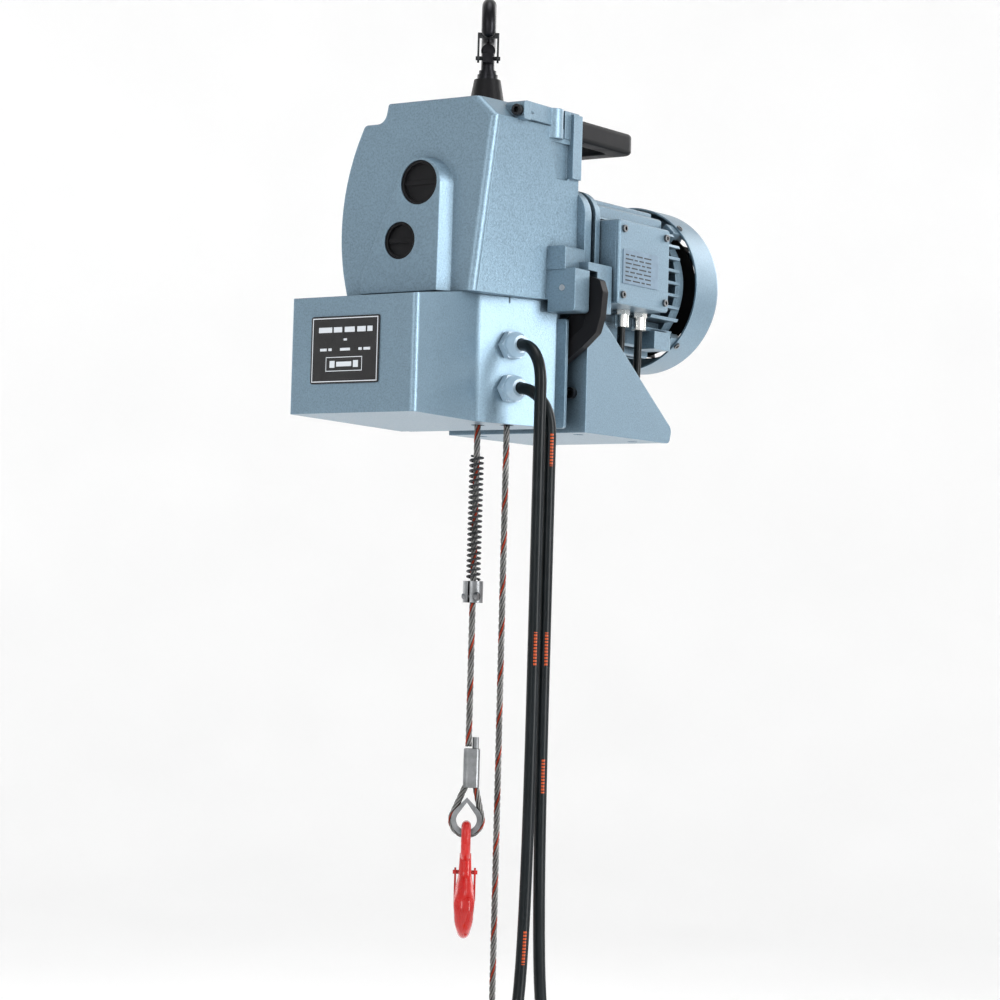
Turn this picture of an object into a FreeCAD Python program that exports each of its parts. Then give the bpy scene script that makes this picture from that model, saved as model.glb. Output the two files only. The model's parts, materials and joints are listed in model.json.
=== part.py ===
import FreeCAD, Part
import math
import os

# Electric wire rope hoist. Millimetres, +Z up, origin at the seat of the suspension hook.
# -Y is the nameplate side, +X the cable gland side, +Y the motor side.

os.makedirs("parts", exist_ok=True)
V = FreeCAD.Vector
X, Y, Z = V(1, 0, 0), V(0, 1, 0), V(0, 0, 1)

# ---- driving dimensions ----
ROPE_R = 3.25            # 6.5 mm wire rope
CABLE_R = 5.75           # round rubber cable
LEAD_R = 4.0             # motor and brake leads
SHEAVE_R = 43.0          # radius of the rope's centre line on the sheave
SHEAVE_X = -SHEAVE_R     # the load rope hangs straight under the hook
SHEAVE_Z = -231.0
SLACK_X, SLACK_Y = 29.0, 8.0
TOP_Z = -94.0            # top of the casing
FLOOR_Z = -281.0         # underside of the casing
COVER_Y = -65.0          # front face of the casing
SEAM_Y = -57.0           # joint between cover and casing
REAR_Y = 65.0            # rear face of the casing
FLOOR = 5.0              # thickness of the casing floor
BOX_BOTTOM = -405.0      # underside of the control box at its rear
BACK_Y = 46.0            # front face of the control box's back plate
FOOT_Y = 66.0            # front face of the foot
FOOT_Z = -408.0          # underside of the foot
FOOT_HALF = 82.0
MOTOR_Z = -242.0         # motor axis, at X = 0
HOOK_TURN = 35.0         # the hooks' planes are turned this far from +Y about Z
PRESSURE_ANGLE = 25.0
BACKLASH = 0.16

MOTOR_AXIS = (0.0, MOTOR_Z)
SHEAVE_AXIS = (SHEAVE_X, SHEAVE_Z)
GEAR_MODULE = (1.25, 1.5, 2.0)
GEAR_TEETH = ((12, 52), (12, 54), (12, 47))
CENTRES = [m * sum(t) / 2.0 for m, t in zip(GEAR_MODULE, GEAR_TEETH)]
SHAFT3_X = -22.0
SHAFT3_AXIS = (SHAFT3_X, SHEAVE_Z + math.sqrt(CENTRES[2] ** 2 - (SHAFT3_X - SHEAVE_X) ** 2))


def meet(p, q, rp, rq):
    """The point at rp from p and rq from q, on the right when looking from p to q."""
    dx, dz = q[0] - p[0], q[1] - p[1]
    d = math.hypot(dx, dz)
    a = (rp * rp - rq * rq + d * d) / (2.0 * d)
    h = math.sqrt(rp * rp - a * a)
    return (p[0] + (a * dx + h * dz) / d, p[1] + (a * dz - h * dx) / d)


SHAFT2_AXIS = meet(MOTOR_AXIS, SHAFT3_AXIS, CENTRES[0], CENTRES[1])


# ---- building helpers ----
def box(x0, x1, y0, y1, z0, z1):
    return Part.makeBox(x1 - x0, y1 - y0, z1 - z0, V(x0, y0, z0))


def rod(r, start, axis, length):
    return Part.makeCylinder(r, length, start, axis)


def tube(r_out, r_in, start, axis, length):
    return rod(r_out, start, axis, length).cut(rod(r_in, start - axis * 1.0, axis, length + 2.0))


def y_rod(r, centre, y0, y1):
    return rod(r, V(centre[0], y0, centre[1]), Y, y1 - y0)


def y_tube(r_out, r_in, centre, y0, y1):
    return y_rod(r_out, centre, y0, y1).cut(y_rod(r_in, centre, y0 - 1.0, y1 + 1.0))


def fuse(shapes):
    """One clean solid from shapes that touch or overlap."""
    whole = shapes[0].fuse(shapes[1:]) if len(shapes) > 1 else shapes[0]
    return whole.removeSplitter()


def hexagon(across, start, axis, length):
    """A hexagonal prism with the given size across its flats."""
    side = axis.cross(Z) if abs(axis.dot(Z)) < 0.9 else axis.cross(X)
    side.normalize()
    other = axis.cross(side)
    reach = across / math.sqrt(3.0)
    ring = []
    for k in range(7):
        a = math.radians(60.0 * k)
        ring.append(start + side * (reach * math.cos(a)) + other * (reach * math.sin(a)))
    return Part.Face(Part.makePolygon(ring)).extrude(axis * length)


def rounded(points, radii):
    """A closed wire through the points with its corners rounded to the radii."""
    edges = []
    cuts = []
    n = len(points)
    for k in range(n):
        p = points[k]
        a = (points[k - 1] - p).normalize()
        b = (points[(k + 1) % n] - p).normalize()
        r = radii[k]
        if r <= 0.0:
            cuts.append((p, p, p))
            continue
        half = a.getAngle(b) / 2.0
        reach = r / math.tan(half)
        middle = p + (a + b).normalize() * (r / math.sin(half) - r)
        cuts.append((p + a * reach, middle, p + b * reach))
    for k in range(n):
        start, middle, end = cuts[k]
        if (start - end).Length > 1e-6:
            edges.append(Part.Arc(start, middle, end).toShape())
        after = cuts[(k + 1) % n][0]
        if (after - end).Length > 1e-6:
            edges.append(Part.makeLine(end, after))
    return Part.Wire(edges)


def prism_y(points, radii, y0, y1):
    wire = rounded([V(x, y0, z) for x, z in points], radii)
    return Part.Face(wire).extrude(V(0, y1 - y0, 0))


def prism_x(points, radii, x0, x1):
    wire = rounded([V(x0, y, z) for y, z in points], radii)
    return Part.Face(wire).extrude(V(x1 - x0, 0, 0))


def prism_z(points, radii, z0, z1):
    wire = rounded([V(x, y, z0) for x, y in points], radii)
    return Part.Face(wire).extrude(V(0, 0, z1 - z0))


def turned(shape, degrees, centre=V(0, 0, 0), axis=Z):
    out = shape.copy()
    out.rotate(centre, axis, degrees)
    return out


def sweep(wire, radius, start, direction):
    """A round bar along a wire that begins at start and heads along direction."""
    profile = Part.Wire([Part.makeCircle(radius, start, direction)])
    return wire.makePipeShell([profile], True, False)


def cord_wire(points):
    """Straight runs joined by tangent arcs; the tangents use 0.45 of the shorter run."""
    edges = []
    radii = []
    here = points[0]
    for k in range(1, len(points) - 1):
        p = points[k]
        a = points[k - 1] - p
        b = points[k + 1] - p
        reach = 0.45 * min(a.Length, b.Length)
        a.normalize()
        b.normalize()
        half = a.getAngle(b) / 2.0
        r = reach * math.tan(half)
        radii.append(r)
        start, end = p + a * reach, p + b * reach
        middle = p + (a + b).normalize() * (r / math.sin(half) - r)
        edges.append(Part.makeLine(here, start))
        edges.append(Part.Arc(start, middle, end).toShape())
        here = end
    edges.append(Part.makeLine(here, points[-1]))
    return Part.Wire(edges), radii


def cord(name, points, radius):
    wire, radii = cord_wire(points)
    solid = sweep(wire, radius, points[0], points[1] - points[0])
    ideal = math.pi * radius ** 2 * wire.Length
    text = ", ".join("%.1f" % r for r in radii)
    print("%s length %.1f mm, bend radii %s, volume ratio %.4f"
          % (name, wire.Length, text, solid.Volume / ideal))
    return solid


def gear(axis, teeth, module, y0, y1, bore, phase):
    """A spur gear about a Y axis with one tooth centred at angle phase (X towards Z)."""
    pitch = module * teeth / 2.0
    base = pitch * math.cos(math.radians(PRESSURE_ANGLE))
    tip = pitch + 0.9 * module
    root = pitch - 1.2 * module
    alpha = math.radians(PRESSURE_ANGLE)
    involute = math.tan(alpha) - alpha
    half = (math.pi * module / 2.0 - BACKLASH) / 2.0 / pitch
    flank = []
    start = max(base, root)
    for k in range(5):
        r = start + (tip - start) * k / 4.0
        beta = math.acos(min(1.0, base / r))
        flank.append((r, half + involute - (math.tan(beta) - beta)))
    if root < base:
        flank.insert(0, (root, flank[0][1]))
    ring = []
    for k in range(teeth):
        middle = phase + 2.0 * math.pi * k / teeth
        for r, a in flank:
            ring.append((r, middle - a))
        for r, a in reversed(flank):
            ring.append((r, middle + a))
    points = [V(axis[0] + r * math.cos(a), y0, axis[1] + r * math.sin(a)) for r, a in ring]
    points.append(points[0])
    blank = Part.Face(Part.makePolygon(points)).extrude(V(0, y1 - y0, 0))
    return blank.cut(y_rod(bore, axis, y0 - 1.0, y1 + 1.0)) if bore > 0.0 else blank


def mesh_phase(axis, teeth, phase, other, other_teeth):
    """The phase that puts the other gear in mesh with this one."""
    line = math.atan2(other[1] - axis[1], other[0] - axis[0])
    share = (line - phase) * teeth / (2.0 * math.pi)
    return line + math.pi - (0.5 - share) * 2.0 * math.pi / other_teeth


def cap_screw(point, out, thread_r, grip, head_r, head_h):
    """A socket cap screw whose head stands on the point, towards out."""
    shank = rod(thread_r, point - out * grip, out, grip)
    head = rod(head_r, point, out, head_h)
    socket = hexagon(head_r, point + out * (head_h * 0.5), out, head_h)
    return fuse([shank, head]).cut(socket)


def export(name, shape):
    shape.exportStep("parts/%s.step" % name)
    bad = [s for s in shape.Solids if not s.isValid() or s.Volume <= 0.0]
    note = "" if not bad and shape.Solids else "  CHECK"
    print("%-18s solids %d volume %.0f%s" % (name, len(shape.Solids), shape.Volume, note))


# ---- hooks ----
def c_hook(centre, ring_r, bar_r, first, last):
    """A round bar bent about centre in the Y-Z plane from angle first to last (Y towards Z)."""
    a = math.radians(first)
    spoke = V(0, math.cos(a), math.sin(a))
    start = centre + spoke * ring_r
    face = Part.Face(Part.Wire([Part.makeCircle(bar_r, start, spoke.cross(X))]))
    bar = face.revolve(centre, X, last - first)
    b = math.radians(last)
    tip = centre + V(0, math.cos(b), math.sin(b)) * ring_r
    return fuse([bar, Part.makeSphere(bar_r, tip)])


def latch(pivot, tip, width, pin_r):
    """A folded safety latch with its pin, from the pivot to the tip in the Y-Z plane."""
    along = tip - pivot
    length = along.Length
    half = width / 2.0
    blade = box(-half, half, 0, length, -0.8, 0.8)
    ears = box(-half, half, 0, length * 0.62, -3.0, 3.0)
    hub = rod(pin_r + 2.4, V(-half, 0, 0), X, width)
    gap = box(-half + 2.0, half - 2.0, -9, length * 0.78, -9, 9)
    pin = rod(pin_r, V(-half - 1.5, 0, 0), X, width + 3.0)
    shape = fuse([fuse([blade, ears, hub]).cut(gap), pin])
    shape.rotate(V(0, 0, 0), X, math.degrees(math.atan2(along.z, along.y)))
    shape.translate(pivot)
    return shape


def latch_lug(pivot, inward, pin_r):
    """The lug on a hook's neck that takes the latch pin."""
    y0, y1 = sorted((pivot.y - inward * 4.0, pivot.y + inward * 8.0))
    lug = box(-5.0, 5.0, y0, y1, pivot.z - 4.5, pivot.z + 4.5)
    return lug, rod(pin_r + 0.05, pivot - X * 15.0, X, 30.0)


TOP_PIVOT = V(0, -8.0, -46.0)
TOP_TIP = V(0, -12.2, -21.5)
LOW_PIVOT = V(0, 8.5, -838.0)
LOW_TIP = V(0, 11.2, -866.0)
LATCH_WIDTH = 21.0
PIN_R = 2.0


def suspension_hook():
    hook = c_hook(V(0, 0, -15), 22.0, 7.0, -90.0, 196.0)
    neck = rod(6.5, V(0, 0, -58), Z, 18.0)
    shank = rod(6.0, V(0, 0, -118), Z, 64.0)
    collar = rod(10.0, V(0, 0, -66), Z, 5.0)
    ring = rod(8.5, V(0, 0, -61), Z, 4.0)
    lug, pin_hole = latch_lug(TOP_PIVOT, 1, PIN_R)
    return turned(fuse([hook, neck, shank, collar, ring, lug]).cut(pin_hole), HOOK_TURN)


def suspension_latch():
    return turned(latch(TOP_PIVOT, TOP_TIP, LATCH_WIDTH, PIN_R), HOOK_TURN)


def load_hook():
    """Link, neck and bowl of the load hook; the link's top bar hangs in the thimble."""
    top, half = -792.3, 13.0
    ring = rounded([V(0, half, top), V(0, -half, top), V(0, -half, -822), V(0, half, -822)],
                   [7.0, 7.0, 11.0, 11.0])
    link = sweep(ring, 4.6, ring.OrderedVertexes[0].Point, Z)
    neck = Part.makeCone(6.0, 6.5, 34.0, V(0, 0, -852), Z)
    bowl = c_hook(V(0, 0, -872), 21.0, 8.0, 90.0, 372.0)
    swell = y_rod(10.0, (0, -874), -29, -15).common(c_hook(V(0, 0, -872), 21.0, 10.0, 150.0, 240.0))
    lug, pin_hole = latch_lug(LOW_PIVOT, -1, PIN_R)
    return turned(fuse([link, neck, bowl, lug, swell]).cut(pin_hole), HOOK_TURN)


def load_latch():
    return turned(latch(LOW_PIVOT, LOW_TIP, LATCH_WIDTH, PIN_R), HOOK_TURN)


# ---- casing ----
CASING_LEFT = ((-116.0, FLOOR_Z), (-125.0, -207.0), (-101.5, -117.0))
FRONT_RIGHT = (57.0, 35.0)     # right-hand side at the front: top and bottom
REAR_RIGHT = (67.0, 67.0)
FRONT_FLAT, REAR_FLAT = 36.0, 48.0


def casing_wire(y, right, flat):
    """Outline of the casing at one Y: its right-hand side and where the flat top ends."""
    def p(x, z):
        return V(x, y, z)
    bottom, bulge, shoulder = CASING_LEFT
    edges = [
        Part.Arc(p(*bottom), p(*bulge), p(*shoulder)).toShape(),
        Part.Arc(p(*shoulder), p(-99.3, -114), p(-96, -113)).toShape(),
        Part.makeLine(p(-96, -113), p(-84, -113)),
        Part.Arc(p(-84, -113), p(-77.2, -110.2), p(-73.6, -104)).toShape(),
        Part.makeLine(p(-73.6, -104), p(-72, -96.2)),
        Part.Arc(p(-72, -96.2), p(-71.2, -94.7), p(-69.5, TOP_Z)).toShape(),
        Part.makeLine(p(-69.5, TOP_Z), p(flat, TOP_Z)),
        Part.makeLine(p(flat, TOP_Z), p(right[0], TOP_Z - 19)),
        Part.makeLine(p(right[0], TOP_Z - 19), p(right[1], FLOOR_Z)),
        Part.makeLine(p(right[1], FLOOR_Z), p(*bottom)),
    ]
    return Part.Wire(edges)


def cavity_wire(y, right):
    """Inside of the casing at one Y."""
    points = [(-109, FLOOR_Z + FLOOR), (-117.5, -207), (-95, -121), (-70, -120), (-66, TOP_Z - 8),
              (right[0] - 24, TOP_Z - 8), (right[0] - 7, TOP_Z - 24), (right[1] - 7, FLOOR_Z + FLOOR)]
    return Part.makePolygon([V(x, y, z) for x, z in points + points[:1]])


def solid_casing():
    front = casing_wire(SEAM_Y, FRONT_RIGHT, FRONT_FLAT)
    return Part.makeLoft([front, casing_wire(REAR_Y, REAR_RIGHT, REAR_FLAT)], True, True)


def cavity():
    front = cavity_wire(SEAM_Y, FRONT_RIGHT)
    rear = cavity_wire(REAR_Y - 8, (REAR_RIGHT[0] - 1, REAR_RIGHT[1] - 2))
    return Part.makeLoft([front, rear], True, True)


SHAFTS = (SHAFT2_AXIS, SHAFT3_AXIS, SHEAVE_AXIS)


def housing_main():
    """Cast main casing: side walls, rear wall with bearing seats, floor and top."""
    lug = prism_x([(-33, -114), (-33, -96), (-22, -96), (-22, -114)], [3, 4, 0, 0], 46, 68)
    flange = prism_x([(-22, -112), (-22, -95), (22, -95), (22, -112)], [0, 0, 4, 0], 46, 64.5)
    pillar = rod(10.0, V(60, 28, -124), Z, 29.0)
    rib = box(56, 70, 50, REAR_Y, -160, -97)
    ear = box(36, 66, 40, REAR_Y, -122, -94.6)
    shell = fuse([solid_casing(), lug, flange, pillar, rib, ear])
    shell = shell.cut(cavity())
    cuts = [prism_x([(15, -162), (15, -127), (50, -127), (50, -162)], [7, 0, 0, 3], 62.6, 90)]
    cuts.append(rod(6.06, V(0, 0, -120), Z, 40.0))
    cuts.append(box(-92, 37, -13, 33, FLOOR_Z - 1, FLOOR_Z + FLOOR + 1))
    cuts.append(y_rod(15.0, MOTOR_AXIS, 50, 70))
    for axis in SHAFTS:
        cuts.append(y_rod(13.0, axis, 50, 64))
    cuts.append(rod(3.0, V(61.5, -34, -105.5), Y, 22.0))
    for spot in ADAPTOR_SCREWS + HANDLE_SCREWS:
        cuts.append(y_rod(3.0, spot, 54, REAR_Y + 1))
    for tool in cuts:
        shell = shell.cut(tool)
    return shell.removeSplitter()


TONGUE_Y = -78.0


def boss_outline(y, r, right, left):
    """Outline of the raised boss at one Y: straight sides, round top, open to the floor."""
    centre = V(SHAFT3_AXIS[0], y, -177)
    top_left, low_left, bottom_left = [V(x, y, z) for x, z in left]
    top_right = V(right[0], y, -177)
    crown = centre + V(0, 0, r)
    edges = [
        Part.makeLine(bottom_left, low_left),
        Part.makeLine(low_left, top_left),
        Part.Arc(top_left, crown, top_right).toShape(),
        Part.makeLine(top_right, V(right[1], y, FLOOR_Z)),
        Part.makeLine(V(right[1], y, FLOOR_Z), bottom_left),
    ]
    return Part.Wire(edges)


def tongue():
    """The raised boss over the two shaft ends, a little wider at its foot."""
    front = boss_outline(TONGUE_Y, 25.0, (3.0, 2.0), ((-45.5, -168), (-87, -263), (-89, FLOOR_Z)))
    foot_line = boss_outline(COVER_Y + 1, 27.5, (10.5, 10.5), ((-49, -166), (-89, -262), (-91, FLOOR_Z)))
    return Part.makeLoft([front, foot_line], True, True)


COVER_ROUND = 7.0    # the cover's right-hand edge
COVER_EDGE = 2.0     # the rest of its rim


def housing_cover():
    """Front cover plate with the raised boss and the front bearing seats."""
    plate = Part.Face(casing_wire(COVER_Y, FRONT_RIGHT, FRONT_FLAT)).extrude(V(0, SEAM_Y - COVER_Y, 0))
    side = [e for e in plate.Edges if e.BoundBox.YMax < COVER_Y + 0.01
            and e.BoundBox.XMin > 30 and e.BoundBox.XMax > FRONT_RIGHT[0] - 1]
    plate = plate.makeFillet(COVER_ROUND, side)
    rest = [e for e in plate.Edges if e.BoundBox.YMax < COVER_Y + 0.01 and e.BoundBox.XMax < 40
            and e.BoundBox.ZMin > FLOOR_Z - 0.01 and e.BoundBox.ZMax > FLOOR_Z + 1]
    plate = plate.makeFillet(COVER_EDGE, rest)
    body = [plate, tongue()]
    for axis in SHAFTS:
        body.append(y_rod(17.0, axis, SEAM_Y - 0.5, SEAM_Y + 8.0))
    body = fuse(body)
    for axis in SHAFTS:
        body = body.cut(y_rod(13.0, axis, SEAM_Y + 0.5, SEAM_Y + 12.0))
    for axis, r in PLUGS:
        body = body.cut(y_rod(r, axis, TONGUE_Y - 1, TONGUE_Y + 9))
    return body.removeSplitter()


PLUGS = ((SHAFT3_AXIS, 21.5), (SHEAVE_AXIS, 18.2))


def shaft_plugs():
    """Two black caps over the shaft ends, set a little below the boss."""
    caps = []
    for axis, r in PLUGS:
        disc = y_rod(r, axis, TONGUE_Y + 1.5, TONGUE_Y + 9.0)
        dish = y_rod(r - 3.0, axis, TONGUE_Y, TONGUE_Y + 5.0)
        bar = box(axis[0] - r + 2, axis[0] + r - 2, TONGUE_Y + 3.5, TONGUE_Y + 6, axis[1] - 2, axis[1] + 2)
        caps.append(fuse([disc.cut(dish), bar]))
    return Part.makeCompound(caps)


# ---- control box and foot ----
BOX_PLAN = ((-122.5, -140.0), (26.0, -140.0), (23.0, -37.0), (59.0, BACK_Y), (-127.0, BACK_Y))
BOX_INNER = ((-118.5, -136.0), (22.0, -136.0), (19.1, -36.0), (54.7, BACK_Y), (-123.0, BACK_Y))
FLARE_START = V(23.0, -37.0, 0)
FLARE = V(59.0, BACK_Y, 0) - FLARE_START
FLARE_OUT = V(FLARE.y, -FLARE.x, 0).normalize()
FLARE_ALONG = V(-FLARE_OUT.y, FLARE_OUT.x, 0)
GLAND_BASE = FLARE_START + FLARE * 0.42
GLAND_Z = (-328.0, -370.0)
GLAND_LENGTH = 20.0
GUIDES = ((0.0, 0.0, -293.0), (SLACK_X, SLACK_Y, -312.0))


def control_box():
    """Sheet box with a slanted gland face; open at the rear."""
    plan = prism_z(BOX_PLAN, [3, 6, 15, 0, 0], -420, -270)
    side = prism_x([(-141, -402), (BACK_Y, BOX_BOTTOM), (BACK_Y, FLOOR_Z), (-60, FLOOR_Z), (-141, -291)],
                   [0] * 5, -140, 80)
    hollow = prism_z(BOX_INNER, [1, 3, 11, 0, 0], -420, -270)
    depth = prism_x([(-139, -398), (BACK_Y, BOX_BOTTOM + 4), (BACK_Y, FLOOR_Z - 4), (-60, FLOOR_Z - 4),
                     (-139, -295)], [0] * 5, -140, 80)
    shell = plan.common(side).cut(hollow.common(depth))
    for z in GLAND_Z:
        shell = shell.cut(rod(8.0, GLAND_BASE + Z * z - FLARE_OUT * 9, FLARE_OUT, 18))
    for x, y, _ in GUIDES:
        shell = shell.cut(rod(7.0, V(x, y, -415), Z, 25))
    shell = shell.cut(box(-8, 37, -5, 14, FLOOR_Z - 6, FLOOR_Z + 1))
    return shell.removeSplitter()


def box_back():
    points = [(-121, BOX_BOTTOM), (70, BOX_BOTTOM), (70, -298), (59.5, -298), (59.5, FLOOR_Z),
              (-121, FLOOR_Z)]
    plate = prism_y(points, [3, 3, 2, 0, 0, 0], BACK_Y, BACK_Y + 4)
    spacers = [y_rod(7.0, (x, z), BACK_Y + 4, FOOT_Y) for x in (-30, 30) for z in (-340, -388)]
    body = fuse([plate] + spacers)
    for x, z in LEAD_HOLES:
        body = body.cut(y_rod(LEAD_R + 0.5, (x, z), BACK_Y - 1, BACK_Y + 5))
    return body


def nameplate():
    return prism_y([(-97, -374), (-16, -374), (-16, -310), (-97, -310)], [2] * 4, -141.2, -140)


def box_glands():
    """Two glands on the slanted face: a hexagon body with a domed nut each."""
    shapes = []
    for z in GLAND_Z:
        base = GLAND_BASE + Z * z
        body = fuse([hexagon(25.0, base, FLARE_OUT, 8.0), rod(8.0, base - FLARE_OUT * 4.4, FLARE_OUT, 5.0)])
        nut = fuse([rod(12.2, base + FLARE_OUT * 8.0, FLARE_OUT, 4.0),
                    Part.makeCone(12.2, 8.6, GLAND_LENGTH - 12.0, base + FLARE_OUT * 12.0, FLARE_OUT)])
        bore = rod(CABLE_R, base - FLARE_OUT * 9, FLARE_OUT, GLAND_LENGTH + 12)
        shapes.append(body.cut(bore))
        shapes.append(nut.cut(bore))
    return Part.makeCompound(shapes)


def control_gear():
    """Contactor, terminal strip, mounting rail and limit switch inside the control box."""
    contactor = fuse([box(-90, -45, -125, -64, -370, -310), box(-86, -49, -122, -67, -376, -304)])
    strip = box(-35, 8, -125, -100, -378, -340)
    for k in range(5):
        strip = strip.cut(rod(2.0, V(-31 + 8.5 * k, -112, -348), Z, 20))
    rail = box(-110, 12, -64, -58, -352, -322)
    switch = fuse([box(-27, -10, -12, 12, -375, -335), rod(2.2, V(-18, 0, -394), Z, 20)])
    return Part.makeCompound([contactor, strip, rail, switch])


def rope_guides():
    shapes = []
    for x, y, top in GUIDES:
        shapes.append(tube(7.0, ROPE_R + 0.9, V(x, y, -403), Z, top + 403))
    return Part.makeCompound(shapes)


def foot():
    """Bent support foot: front wall, bottom plate and two triangular wings."""
    wall = box(-FOOT_HALF, FOOT_HALF, FOOT_Y, FOOT_Y + 6, FOOT_Z, -318)
    side = [(FOOT_Y, FOOT_Z), (FOOT_Y, -318), (82, -297), (96, -297), (226, -393), (222, FOOT_Z)]
    rounds = [0, 3, 5, 3, 8, 6]
    wings = [prism_x(side, rounds, x, x + 6) for x in (-FOOT_HALF, FOOT_HALF - 6)]
    plate = box(-FOOT_HALF, FOOT_HALF, FOOT_Y, 214, FOOT_Z, FOOT_Z + 6)
    body = fuse([wall, plate] + wings)
    for x, y in FOOT_HOLES:
        body = body.cut(rod(5.5, V(x, y, FOOT_Z - 1), Z, 9))
    for x, z in LEAD_HOLES:
        body = body.cut(y_rod(LEAD_R + 0.5, (x, z), FOOT_Y - 1, FOOT_Y + 7))
    for x, z in FOOT_SCREWS:
        body = body.cut(y_rod(3.0, (x, z), FOOT_Y - 1, FOOT_Y + 7))
    return body.removeSplitter()


FOOT_HOLES = ((-58.0, 90.0), (58.0, 90.0), (-58.0, 190.0), (58.0, 190.0))
FOOT_SCREWS = ((66.0, -369.0), (-66.0, -369.0))
LEAD_HOLES = ((46.0, -362.7), (46.0, -380.7))


# ---- carrying handle and release lever ----
HANDLE_SCREWS = ((-49.0, -107.0), (49.0, -107.0))


def handle():
    """Black carrying handle: two legs from the casing's rear face and a cross grip."""
    plan = [(38, 65), (60, 65), (60, 180), (-60, 180), (-60, 65), (-38, 65), (-38, 156), (38, 156)]
    grip = prism_z(plan, [0, 0, 14, 14, 0, 0, 5, 5], -118, -97)
    grip = grip.makeFillet(4.0, long_edges(grip, (-118, -97)))
    for x, z in HANDLE_SCREWS:
        grip = grip.cut(y_rod(3.2, (x, z), 60, 84))
        grip = grip.cut(box(x - 5.5, x + 5.5, 74, 92, -120, -101))
    return grip


def long_edges(shape, levels):
    """The level edges round the top and bottom that lie behind the handle's ends."""
    out = []
    for edge in shape.Edges:
        b = edge.BoundBox
        flat = b.ZLength < 0.01 and min(abs(b.ZMin - z) for z in levels) < 0.01
        if flat and b.YMax > 66:
            out.append(edge)
    return out


PIN = (76.3, -270.0)
LEVER_Y = (54.0, 64.0)


def lever_bracket():
    """Stepped block beside the casing that carries the lever and its pin."""
    low = prism_y([(40, -293), (91.5, -293), (91.5, -251), (40, -251)], [0, 4, 2, 0], 27, 52)
    high = prism_y([(40, -252), (80, -252), (80, -229), (40, -229)], [0, 0, 3, 0], 26, 60)
    bridge = box(77, 91.5, 50, 92, -251, -243)
    cheek = box(80, 91.5, 66, 92, -290, -250)
    body = fuse([low, high, bridge, cheek]).cut(solid_casing())
    body = body.cut(box(20, 60, 20, 80, -300, FLOOR_Z))
    body = body.cut(y_rod(3.0, PIN, 20, 60))
    solids = sorted(body.Solids, key=lambda s: s.Volume)
    return solids[-1].removeSplitter()


def release_lever():
    """Black bent lever: a thin web inside a thick rim, turning on the pin."""
    y0, y1 = LEVER_Y
    rim = prism_y([(87, -259), (91, -256.5), (102, -260.5), (106, -272), (104, -296), (99, -312), (84, -325),
                   (50, -349), (45, -345), (45, -334), (64, -321), (84, -306), (87, -293)],
                  [1, 2, 5, 6, 5, 6, 3, 2, 2, 2, 3, 5, 4], y0, y1)
    web = prism_y([(72, -263), (90, -263), (90, -294), (86, -307), (64, -322), (62, -297), (74, -288)],
                  [2, 2, 2, 2, 2, 3, 4], y0 + 3, y1 - 3)
    hub = y_rod(8.5, PIN, y0, y1)
    return fuse([rim, web, hub]).cut(y_rod(3.05, PIN, 20, 70)).removeSplitter()


def lever_pin():
    return y_rod(3.0, PIN, 26.5, 64.8)


# ---- motor ----
STATOR = (105.0, 215.0)
FRAME = (92.0, 250.0)
SQUARE = 76.0            # half width of the motor's square flange
FIN_PITCH = 12.6


def square(half, corner, y0, y1):
    """A rounded square plate about the motor axis."""
    ring = [(-half, MOTOR_Z - half), (half, MOTOR_Z - half), (half, MOTOR_Z + half), (-half, MOTOR_Z + half)]
    return prism_y(ring, [corner] * 4, y0, y1)


def motor_adaptor():
    """Flange between the casing and the motor, with the front motor bearing."""
    body = fuse([square(SQUARE, 28, REAR_Y, 76), y_rod(60.0, MOTOR_AXIS, 76, 84),
                 square(SQUARE, 28, 84, FRAME[0])])
    body = body.cut(y_rod(10.5, MOTOR_AXIS, REAR_Y - 1, FRAME[0] + 1))
    body = body.cut(y_rod(21.0, MOTOR_AXIS, 76, FRAME[0] + 1))
    body = body.cut(y_rod(54.0, MOTOR_AXIS, 88, FRAME[0] + 1))
    for spot in ADAPTOR_SCREWS:
        body = body.cut(y_rod(3.2, spot, REAR_Y - 1, 78))
    return body


ADAPTOR_SCREWS = tuple((x, MOTOR_Z + z) for x in (-60.0, 60.0) for z in (-30.0, 58.0))


def motor_frame():
    """Finned motor body with the terminal box pedestal and a foot pad."""
    y0, y1 = FRAME
    fins = []
    for k in range(-4, 5):
        step = FIN_PITCH * k
        for a, b in ((-SQUARE, -40.0), (40.0, SQUARE)):
            fins.append(box(a, b, y0 + 6, y1 - 6, MOTOR_Z + step - 1.5, MOTOR_Z + step + 1.5))
            fins.append(box(step - 1.5, step + 1.5, y0 + 6, y1 - 6, MOTOR_Z + a, MOTOR_Z + b))
    fins = [fin.common(y_rod(84.0, MOTOR_AXIS, y0, y1)) for fin in fins]
    core = [y_rod(62.0, MOTOR_AXIS, y0, y1)]
    core += [y_rod(72.0, MOTOR_AXIS, a, a + 7) for a in (y0, y1 - 7)]
    body = fuse(core + fins)
    body = body.cut(box(56, 90, y0 - 1, 192, -300, -192))
    body = fuse([body, box(40, 56, 100, 182, -270, -204), box(45, 72, 205, 235, -312, -294)])
    return body.cut(y_rod(55.0, MOTOR_AXIS, y0 - 1, y1 + 1)).removeSplitter()


def stator():
    """Laminated stator core with its end windings."""
    core = y_tube(55.0, 34.0, MOTOR_AXIS, *STATOR)
    front = y_tube(52.0, 38.0, MOTOR_AXIS, STATOR[0] - 10, STATOR[0])
    rear = y_tube(52.0, 38.0, MOTOR_AXIS, STATOR[1], STATOR[1] + 14)
    return fuse([core, front, rear])


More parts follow.
